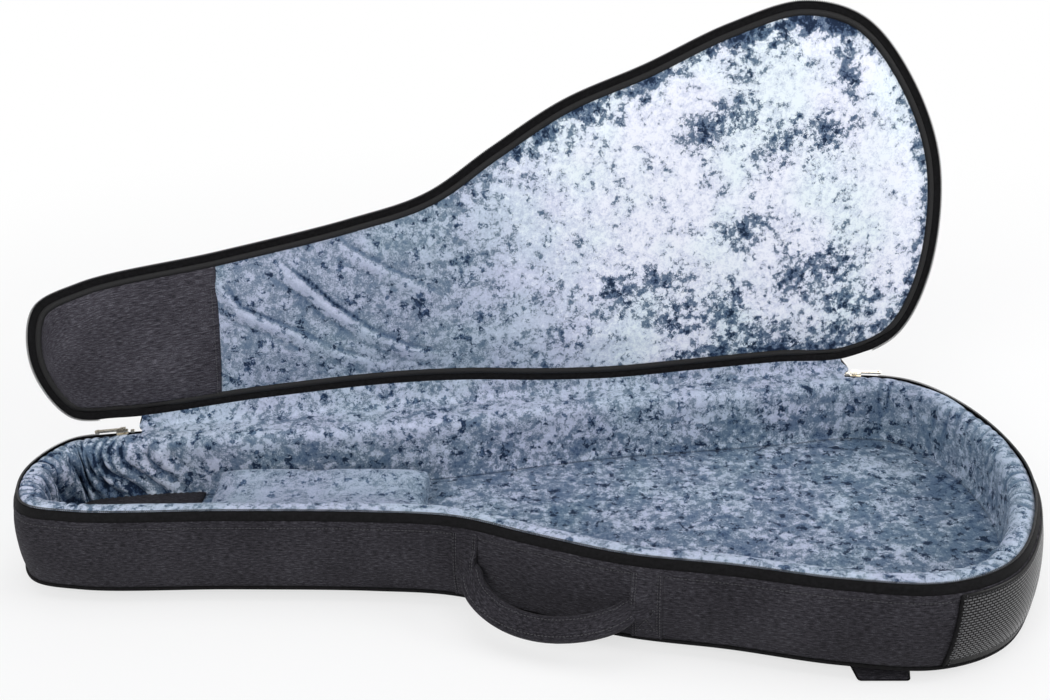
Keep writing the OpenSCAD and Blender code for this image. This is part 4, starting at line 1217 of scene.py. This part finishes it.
lid_wall = sleeve("lid_side_wall", opened(carried(above(lid_z, [
    [8.4, 1.0], [8.0, 4], [9.6, 10], [13.6, 17.8], [15.6, 17.4], [11.6, 10], [10.2, 4], [10.4, 1.4]], 34))), 44 * MM)
dress(lid_wall, "lid", charcoal, "charcoal_fabric", "lid_shell", "lid_foam")
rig.sheet(lid_wall, flat=(girth, 0.021), held="stretched", rests_on=["lid_foam"])
lid_cord = cord_section(13.4 * MM, lid_z + SEAM_Z + 0.9 * MM, 2.0 * MM)
dress(sleeve("lid_piping", opened(carried(lid_cord)), 13 * MM), "lid", black_cloth, "black_tape")
edge = inside_rim(14 * MM)
flat = panel(edge, 260, 111)
crown = quarter_round(edge_depth(flat, edge), 32 * MM)
slack = swells(flat, (0.8, 0.09, 51), (0.3, 0.03, 52))
top_z = lid_z + SEAM_Z + (LID_DEPTH - SEAM_Z) * crown + MM * (slack - 0.8) * crown
lid_top = surface("lid_top_cloth", opened(np.dstack([flat, top_z])), lengths=(
    flat[:, 0, 0], np.linspace(-0.2, 0.2, 111)))
dress(close_poles(lid_top), "lid", charcoal, "charcoal_fabric", thick=1.2 * MM)
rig.sheet(lid_top, flat=(1.07, 0.43), held="stretched", rests_on=["lid_foam"], area=0.33)

# Accessory pocket: a flat charcoal pouch on the outside of the lid, piped round its front panel.
# Its narrow side wall is sewn to the lid, and its zip lies across the upper end.
POCKET_Z = lid_z + LID_DEPTH + 0.1 * MM
ZIP_X, ZIP_HALF = 10 * MM, 65 * MM
_, pocket_run, on_pocket = edge_of(MM * np.array(both_sides([
    [-40, 0], [-32, -62], [60, -98], [200, -128], [330, -152], [410, -142], [452, -80], [462, 0]])))
pocket_round = pocket_run[-1]
round_pocket = (500, pocket_round, on_pocket)
pocket_wall = above(POCKET_Z, [[0.2, 0.0], [-0.8, 2], [-0.4, 6], [2.0, 9.6], [4.0, 9.2], [1.6, 6], [1.4, 0.3]], 30)
pocket_side = sleeve("pocket_side_wall", opened(carried(pocket_wall, *round_pocket)), 24 * MM, pocket_round)
dress(pocket_side, "lid", charcoal, "charcoal_fabric", "pocket_body")
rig.sheet(pocket_side, flat=(pocket_round, 0.0115), held="stretched", rests_on=["lid_top_cloth"])
pocket_cord = carried(cord_section(2.4 * MM, POCKET_Z + 9.9 * MM, 1.7 * MM), *round_pocket)
dress(sleeve("pocket_piping", opened(pocket_cord), 11 * MM, pocket_round), "lid", black_cloth, "black_tape")
edge = on_pocket(pocket_run[:-1], 2.6 * MM, 0.0)[:, :2]
flat = panel(edge, 160, 81)
crown = quarter_round(edge_depth(flat, edge), 26 * MM)
slack = swells(flat, (1.0, 0.08, 55), (0.35, 0.026, 56)) * step(14 * MM, 30 * MM, np.abs(flat[..., 0] - ZIP_X))
front_z = POCKET_Z + 9.8 * MM + MM * crown * (2.1 + 0.6 * slack)
pocket_front = surface("pocket_front_cloth", opened(np.dstack([flat, front_z])), lengths=(
    flat[:, 0, 0], np.linspace(-0.15, 0.15, 81)))
dress(close_poles(pocket_front), "lid", charcoal, "charcoal_fabric", thick=1.1 * MM)
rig.sheet(pocket_front, flat=(0.5, 0.3), held="stretched", rests_on=["pocket_side_wall"], area=0.115)
row_z = POCKET_Z + 9.9 * MM + 2.1 * MM * quarter_round(5.4, 26)
pocket_row = on_pocket(np.linspace(0, pocket_round, 700), 8.0 * MM, row_z)
outside = opened(np.array([[0, 0, 1.0]]) + hinge_start) - hinge_start
stitched("pocket_edge_stitches", opened(pocket_row), outside, "lid")

# Pocket zip: two woven tapes with a closed nylon coil between them, sewn on across the pocket's upper end.
# The slider and its pull are plated like those of the rim.
TAPE_Z = POCKET_Z + 12.1 * MM
tape_x, tape_rise = MM * np.array([[2.2, 0.55], [3.2, 0.8], [7, 0.75], [11, 0.7], [12, 0.3]]).T
tape_y = np.linspace(-ZIP_HALF, ZIP_HALF, 80)
angle = coil_turns(2 * ZIP_HALF)
for side, name in ((-1, "upper"), (1, "lower")):
    points = grid_of(ZIP_X + side * tape_x, tape_y[:, None], TAPE_Z + tape_rise)
    tape = surface(f"pocket_zip_tape_{name}", opened(points), flip=side > 0, lengths=(tape_y, tape_x))
    dress(tape, "lid", black_cloth, "black_tape", *(["pocket_zip_tape"] if side < 0 else []), thick=0.6 * MM)
    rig.sheet(tape, flat=(0.13, 0.01), held="stretched", rests_on=["pocket_front_cloth"])
    row = grid_of(ZIP_X + side * 10 * MM, tape_y, TAPE_Z + 0.8 * MM)
    stitched(f"pocket_zip_stitches_{name}", opened(row), outside, "lid")
    line = grid_of(ZIP_X + side * MM * (0.8 + 1.3 * np.cos(angle)),
                   -ZIP_HALF + (angle / (2 * math.pi) + 0.25 * side) * COIL_PITCH,
                   TAPE_Z + MM * (0.75 + 0.3 * np.sin(angle)))
    line, along = opened(line), ahead_of(opened(line))
    coil = cord_along(f"pocket_zip_coil_{name}", line, np.cross(np.cross(along, outside), along), 0.25 * MM, 5)
    dress(coil, "lid", black_nylon, "zip_coil")
refinish(plated, "pocket_slider", "pocket_pull")

# Lid zip: the other half of the zip, a black tape along the lid's edge with its nylon coil.
# Inside it a rolled black binding covers the seam of the lining.
SLIDER_PLACES = (-460 * MM, 406 * MM)


def clear_of_sliders(section, lift, reach):
    """A section carried round the rim and raised beside the two sliders, so that they and their pulls pass below."""
    band = carried(section)
    at = np.arange(len(band)) / len(band) * girth
    apart = [np.abs((at - rim_place(x, False) + girth / 2) % girth - girth / 2) for x in SLIDER_PLACES]
    band[..., 2] += lift * (1 - step(reach, 1.6 * reach, np.minimum(*apart)))[:, None]
    return band


tape_section = above(lid_z, [[16.6, 0.2], [12, -0.5], [8.6, -0.7], [7.2, 0.1], [7.4, 1.6], [10, 1.3], [16.6, 1.2]], 22)
lid_tape = sleeve("zip_tape_lid", opened(clear_of_sliders(tape_section, 1.3 * MM, 18 * MM)), 21 * MM)
dress(lid_tape, "lid", black_cloth, "black_tape", "zipper_tape_lid")
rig.sheet(lid_tape, flat=(girth, 0.0105), held="stretched", rests_on=["lid_foam"])
roll_section = above(lid_z, [[23.8, 2.2], [23.2, -0.6], [20.5, -2.2], [17.2, -1.6], [15.8, 0.6], [16.4, 2.4]], 20)
binding = sleeve("lid_seam_binding_roll", opened(clear_of_sliders(roll_section, 2.6 * MM, 45 * MM)), 20 * MM)
black_satin = finish("black_satin", "UV", black_weave, {"Specular IOR Level": 0.3})
dress(binding, "lid", black_satin, "black_tape", "lid_seam_binding")
lid_coil = coil_along("zip_coil_lid", 7.3 * MM, lid_z - 1.2 * MM, opened)
dress(lid_coil, "lid", black_nylon, "zip_coil", "zipper_coil_lid")

# Lid lining: a velvet panel over the lid foam, sewn in under the binding and to the head patch.
# It puffs between its seams and keeps three long folds beside the patch.
PANEL_Z = lid_z + 0.4 * MM
PATCH_X = -326 * MM
lining_edge = inside_rim(22.6 * MM)
patch_edge = MM * np.array([[-120, -300], [-40, -316], [10, -326], [60, -337], [120, -352]])
folds = (
    (0.8, [(-312, -58), (-295, -14), (-273, 2), (-236, 30), (-197, 63), (-140, 96)]),
    (1.25, [(-244, -62), (-211, -23), (-194, 3), (-157, 45), (-117, 77), (-74, 96)]),
    (0.7, [(-170, -66), (-142, -40), (-108, -11), (-60, 28)]))
# Clumps of dark pile: middle x and y, half lengths along x and y
clumps = (
    (380, -64, 58, 24), (270, -100, 34, 26), (378, 98, 52, 34), (420, 142, 36, 20), (298, 26, 30, 22),
    (165, 72, 62, 26), (235, 114, 60, 22), (280, 160, 70, 16), (366, 178, 70, 14), (379, -187, 70, 16),
    (318, -150, 18, 36), (440, -130, 14, 40))


def line_gap(points, line):
    """Signed distance of points from a polyline, and how far along it the nearest place is, from 0 to 1."""
    line = evenly(line, 60)
    away = points[..., None, :] - line
    near = (away**2).sum(-1).argmin(-1)
    ahead = np.gradient(line, axis=0)[near]
    gap = np.take_along_axis(away, near[..., None, None], -2)[..., 0, :]
    side = np.sign(ahead[..., 0] * gap[..., 1] - ahead[..., 1] * gap[..., 0])
    return side * np.linalg.norm(gap, axis=-1), near / 59


flat = panel(lining_edge, 360, 131, PATCH_X).copy()
edge_x = np.interp(flat[..., 1], *patch_edge.T)
flat[..., 0] += (edge_x - PATCH_X) * np.clip(1 - (flat[..., 0] - PATCH_X) / 0.16, 0, 1) ** 2
x, y = flat[..., 0], flat[..., 1]
depth = np.minimum(edge_depth(flat, lining_edge), np.maximum(x - edge_x, 0))
puff = 5.0 * step(0, 45 * MM, depth) + 1.5 * step(0, 9 * MM, depth)
puff += step(0, 50 * MM, depth) * swells(flat, (2.0, 0.11, 61), (0.9, 0.036, 62))
# Each fold also paints the pile tone: paler along its ridge, darker in its groove and along the far line. These are a
# painted highlight and painted shade.
fold_light_and_shade = 0
for strength, line in folds:
    gap, share = line_gap(flat, MM * np.array(line))
    ends = strength * step(-0.02, 0.16, share) * step(-0.02, 0.3, 1 - share)
    ends = ends * (1 + 0.5 * lumps(share * 6, share * 0, 64))
    ridge = ends * bell(gap, np.where(gap > 0, 9 * MM, 2.6 * MM))
    groove = ends * bell(gap + 4.8 * MM, 1.9 * MM)
    far_line = ends * bell(gap - 15 * MM, 2.4 * MM)
    puff += 4.2 * ridge - 2.6 * groove - 0.8 * far_line
    fold_light_and_shade = fold_light_and_shade + 0.20 * ridge - 0.34 * groove - 0.14 * far_line
gathers = np.exp(-depth / (16 * MM)) * np.abs(np.sin(math.pi * (x / 0.021 + swells(flat, (1, 0.05, 63)))))
puff -= 0.9 * gathers * step(0, 5 * MM, depth)
lid_velvet = surface("lid_velvet", opened(np.dstack([flat, PANEL_Z - puff * MM])), flip=True)
# The wide part of the lid is set paler than the narrow end. This is partly the lie of the pile and partly painted light
# falling off towards the narrow end. rim_shade and slope_shade paint shade along the edges.
bright = step(-0.12, 0.19, x - 0.25 * y)
clump = sum(bell(x - mid_x * MM, half_x * MM) * bell(y - mid_y * MM, half_y * MM)
            for mid_x, mid_y, half_x, half_y in clumps)
rim_shade = bell(depth - 4 * MM, 8 * MM) * bright * (0.3 + 0.7 * step(0.14, 0.28, x))
slope_shade = (1 - step(8 * MM, 50 * MM, depth)) * step(0, -40 * MM, y) * (1 - step(0.16, 0.30, x))
lid_nap_and_shade = (0.465 + 0.39 * bright - 0.41 * np.clip(1.4 * clump, 0, 1) - 0.40 * rim_shade
           - 0.36 * slope_shade * bright + fold_light_and_shade)
nap_and_shade_on(lid_velvet, lid_nap_and_shade, 0.32 + 0.63 * bright)
dress(close_poles(lid_velvet), "lid", velvet, "velvet", "lid_lining", thick=1.6 * MM)
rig.padded(lid_velvet, fill=0.5)

# Head patch: charcoal cloth over foam at the narrow end of the lid, against wear.
# Its curved edge overlaps the velvet and is stitched down.
PATCH_LAP = 2.5 * MM
flat = panel(lining_edge, 300, 81)
flat = flat[flat[:, 0, 0] < -250 * MM].copy()
first = flat[:1, :1, 0]
edge_x = np.interp(flat[..., 1], *patch_edge.T) + PATCH_LAP
flat[..., 0] = first + (flat[..., 0] - first) * (edge_x - first) / (flat[-1, 0, 0] - first)
sides = (lining_edge[rim_curve[:-1, 1] * sign > 0] for sign in (-1, 1))
low, high = (np.interp(flat[..., 0], *side[side[:, 0].argsort()].T) for side in sides)
share = np.linspace(0, 1, 81)[None]
flat[..., 1] = low * (1 - share) + high * share
edge_gap = np.interp(flat[..., 1], *patch_edge.T) + PATCH_LAP - flat[..., 0]
depth = np.minimum(edge_depth(flat, lining_edge), np.maximum(edge_gap, 0))
puff = 3.2 * step(0, 40 * MM, depth) + 1.8 * step(0, 6 * MM, depth) + swells(flat, (0.5, 0.05, 71))
puff -= 0.8 * bell(edge_gap - 6 * MM, 1.5 * MM)
head_patch = surface("lid_patch_cloth", opened(np.dstack([flat, PANEL_Z - 0.6 * MM - puff * MM])), flip=True, lengths=(
    np.linspace(0, 0.2, len(flat)), np.linspace(0, 0.16, 81)))
# The head patch takes a paler copy of the charcoal cloth. This is painted light, where the patch faces up to the lamps.
charcoal_painted_lit = finish("pale_charcoal_melange", "UV", lambda at: melange(at, 1.95), SOFT_CLOTH)
dress(close_poles(head_patch), "lid", charcoal_painted_lit, "charcoal_fabric", "lid_headstock_patch", thick=1.4 * MM)
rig.padded(head_patch, fill=0.6)
row_y = np.linspace(-62, 78, 120) * MM
row = grid_of(np.interp(row_y, *patch_edge.T) - 3.5 * MM, row_y, PANEL_Z - 4.0 * MM)
stitched("lid_patch_stitches", opened(row), -outside, "lid")

# Fabric hinge: along the straight part of the rear side the zip gives way to one strip of black cloth.
# Inside it the velvet runs on from the wall to the lid, and both fold at the hinge line.
HINGE_ENDS = (-438 * MM, 392 * MM)
hinge_share = np.linspace(0, 1, 180)
hinge_low, hinge_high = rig.box("hinge_strip")
hinge_end = hinge_start + hinge_dir * np.linalg.norm(np.array(hinge_high - hinge_low)[:2])
hinge_line = hinge_start + hinge_share[:, None] * (hinge_end - hinge_start)
rear_from, rear_to = (rim_place(x, False) for x in HINGE_ENDS)
rear_at = rear_from + hinge_share * (rear_to - rear_from)
level_out = np.array([-hinge_dir[1], hinge_dir[0], 0])
fold_way = unit(opened(hinge_start - level_out) - hinge_start + level_out)


def hinge_sheet(name, base_steps, lid_steps, lift, material, slot, flip):
    """Sheet across the hinge: from rim insets and heights on the base, round the hinge line, to insets and
    heights on the turned lid, with its corners rounded."""
    steps = [on_rim(rear_at, inset * MM, height * MM) for inset, height in base_steps]
    steps.append(hinge_line + lift * MM * (fold_way - level_out * 0.6))
    steps += [opened(on_rim(rear_at, inset * MM, lid_z + height * MM)) for inset, height in lid_steps]
    points = cut_corners(np.stack(steps, 1), 3)
    made = surface(name, points, flip=flip, lengths=(rear_at, np.linspace(0, 0.04, points.shape[1])))
    made.data.materials.append(material)
    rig.slot(made, slot)
    return made


strip = hinge_sheet("hinge_cloth", [(4.0, 106.0), (3.0, 107.6)], [(9.0, -0.6), (13.0, -0.2)], -1.2,
                    black_cloth, "black_tape", True)
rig.replaces(strip, "hinge_strip")
lined = hinge_sheet("hinge_velvet", [(16.0, 106.5), (10.0, 108.6), (4.0, 109.2)], [(4.0, -1.6), (8.8, -1.0)], 1.2,
                    velvet, "velvet", False)
nap_and_shade_on(lined, 0.52, 0.48)
for made in (strip, lined):
    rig.blend(made, "base", "lid", start=hinge_start - 2.5 * MM * fold_way, end=hinge_start + 2.5 * MM * fold_way)
    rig.sheet(made, flat=(0.845, 0.04), held="stretched", rests_on=["zip_tape_base"], area=None)

# Studio: a wide pale floor under soft lights from the front left, the right, above and behind.
# The camera stands in front of the bag, a little above it.
floor_mesh = surface("studio_floor", grid_of(np.linspace(-9, 9, 3)[:, None], np.linspace(-5, 13, 3), 0.0))


def pale_floor(at):
    """Even pale paint."""
    return {"Base Color": at.noise(3, 2).ramp((0.3, (0.86, 0.86, 0.865)), (0.7, (0.88, 0.88, 0.885)))}


def seen_straight(tree):
    """1 for rays from the camera, off gloss or through glass, which see the backdrop as white, and 0 for others."""
    rays = [Shade(tree).node("LightPath", {}, {}, f"Is {kind} Ray") for kind in ("Camera", "Glossy", "Transmission")]
    return rays[0] + rays[1] + rays[2]


floor_paint = finish("pale_floor", "Object", pale_floor, {"Roughness": 0.9})
tree = floor_paint.node_tree
here = Shade(tree).node("TexCoord", {}, {}, "Object")
far = here.node("MapRange", {"interpolation_type": "SMOOTHSTEP"}, {
    "Value": here.node("VectorMath", {"operation": "LENGTH"}, {0: here}, "Value"),
    "From Min": 0.6, "From Max": 1.9, "To Min": 0.68, "To Max": 1.0})
white = here.node("Emission", {}, {"Strength": 1.0})
paint = here.node("MixShader", {}, {
    0: seen_straight(tree) * far, 1: Shade(tree, tree.nodes["Principled BSDF"].outputs[0]), 2: white})
tree.links.new(paint.socket, tree.nodes["Material Output"].inputs["Surface"])
floor_mesh.data.materials.append(floor_paint)
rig.stage(floor_mesh)
world = bpy.data.worlds.new("studio_air")
bpy.context.scene.world = world
world.use_nodes = True
tree = world.node_tree
air = Shade(tree).node("Background", {}, {"Color": (0.95, 0.97, 1.0, 1), "Strength": 0.40})
white = Shade(tree).node("Background", {}, {"Color": (1, 1, 1, 1), "Strength": 1.0})
sky = Shade(tree).node("MixShader", {}, {0: seen_straight(tree), 1: air, 2: white})
tree.links.new(sky.socket, tree.nodes["World Output"].inputs["Surface"])


def placed(made, x, y, z, place):
    """Adds an object to the scene with those axes, at that place."""
    bpy.context.collection.objects.link(made)
    made.matrix_world = Matrix(np.vstack([np.column_stack([x, y, z, place]), (0, 0, 0, 1)]).tolist())
    return made


def softbox(name, place, target, size, power):
    """Square area lamp at a place, turned to face a target."""
    lamp = bpy.data.lights.new(name, "AREA")
    lamp.shape, lamp.size, lamp.energy = "SQUARE", size, power
    z = unit(np.array(place, float) - target)
    x = unit(np.cross((0, 0, 1.0), z))
    placed(bpy.data.objects.new(name, lamp), x, np.cross(z, x), z, place)


softbox("key_softbox", (-1.3, -2.7, 2.0), (0, 0, 0.15), 1.8, 62)
softbox("side_softbox", (2.4, -0.4, 1.3), (0.3, 0, 0.1), 1.2, 24)
softbox("top_softbox", (0.2, 0.1, 3.0), (0, 0.1, 0.1), 2.4, 26)
softbox("back_softbox", (0.6, 3.4, 1.4), (0, 0.2, 0.2), 1.8, 30)

CAMERA_TURN, CAMERA_RISE, CAMERA_ROLL = (math.radians(a) for a in (2.59, 24.33, 1.78))
CAMERA_AIM = np.array([12.85, 0, 245.07]) * MM
CAMERA_FAR = 1314.11 * MM
FOCAL_PIXELS, FRAME_WIDE, SENSOR_WIDE = 1269.42, 1050, 36
back = np.array([math.sin(CAMERA_TURN) * math.cos(CAMERA_RISE), -math.cos(CAMERA_TURN) * math.cos(CAMERA_RISE),
                 math.sin(CAMERA_RISE)])
right = unit(np.cross(-back, (0, 0, 1.0)))
down = np.cross(-back, right)
rolled_right = math.cos(CAMERA_ROLL) * right + math.sin(CAMERA_ROLL) * down
rolled_down = math.cos(CAMERA_ROLL) * down - math.sin(CAMERA_ROLL) * right
lens = bpy.data.cameras.new("camera")
lens.sensor_width, lens.lens = SENSOR_WIDE, FOCAL_PIXELS / FRAME_WIDE * SENSOR_WIDE
bpy.context.scene.camera = placed(
    bpy.data.objects.new("camera", lens), rolled_right, -rolled_down, back, CAMERA_AIM + CAMERA_FAR * back)
bpy.context.scene.view_settings.view_transform = "Standard"

with open("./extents.json", "w") as sizes:
    json.dump({"cad": [list(corner) for corner in cad_box], "visual": [list(corner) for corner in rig.bounds()]}, sizes)
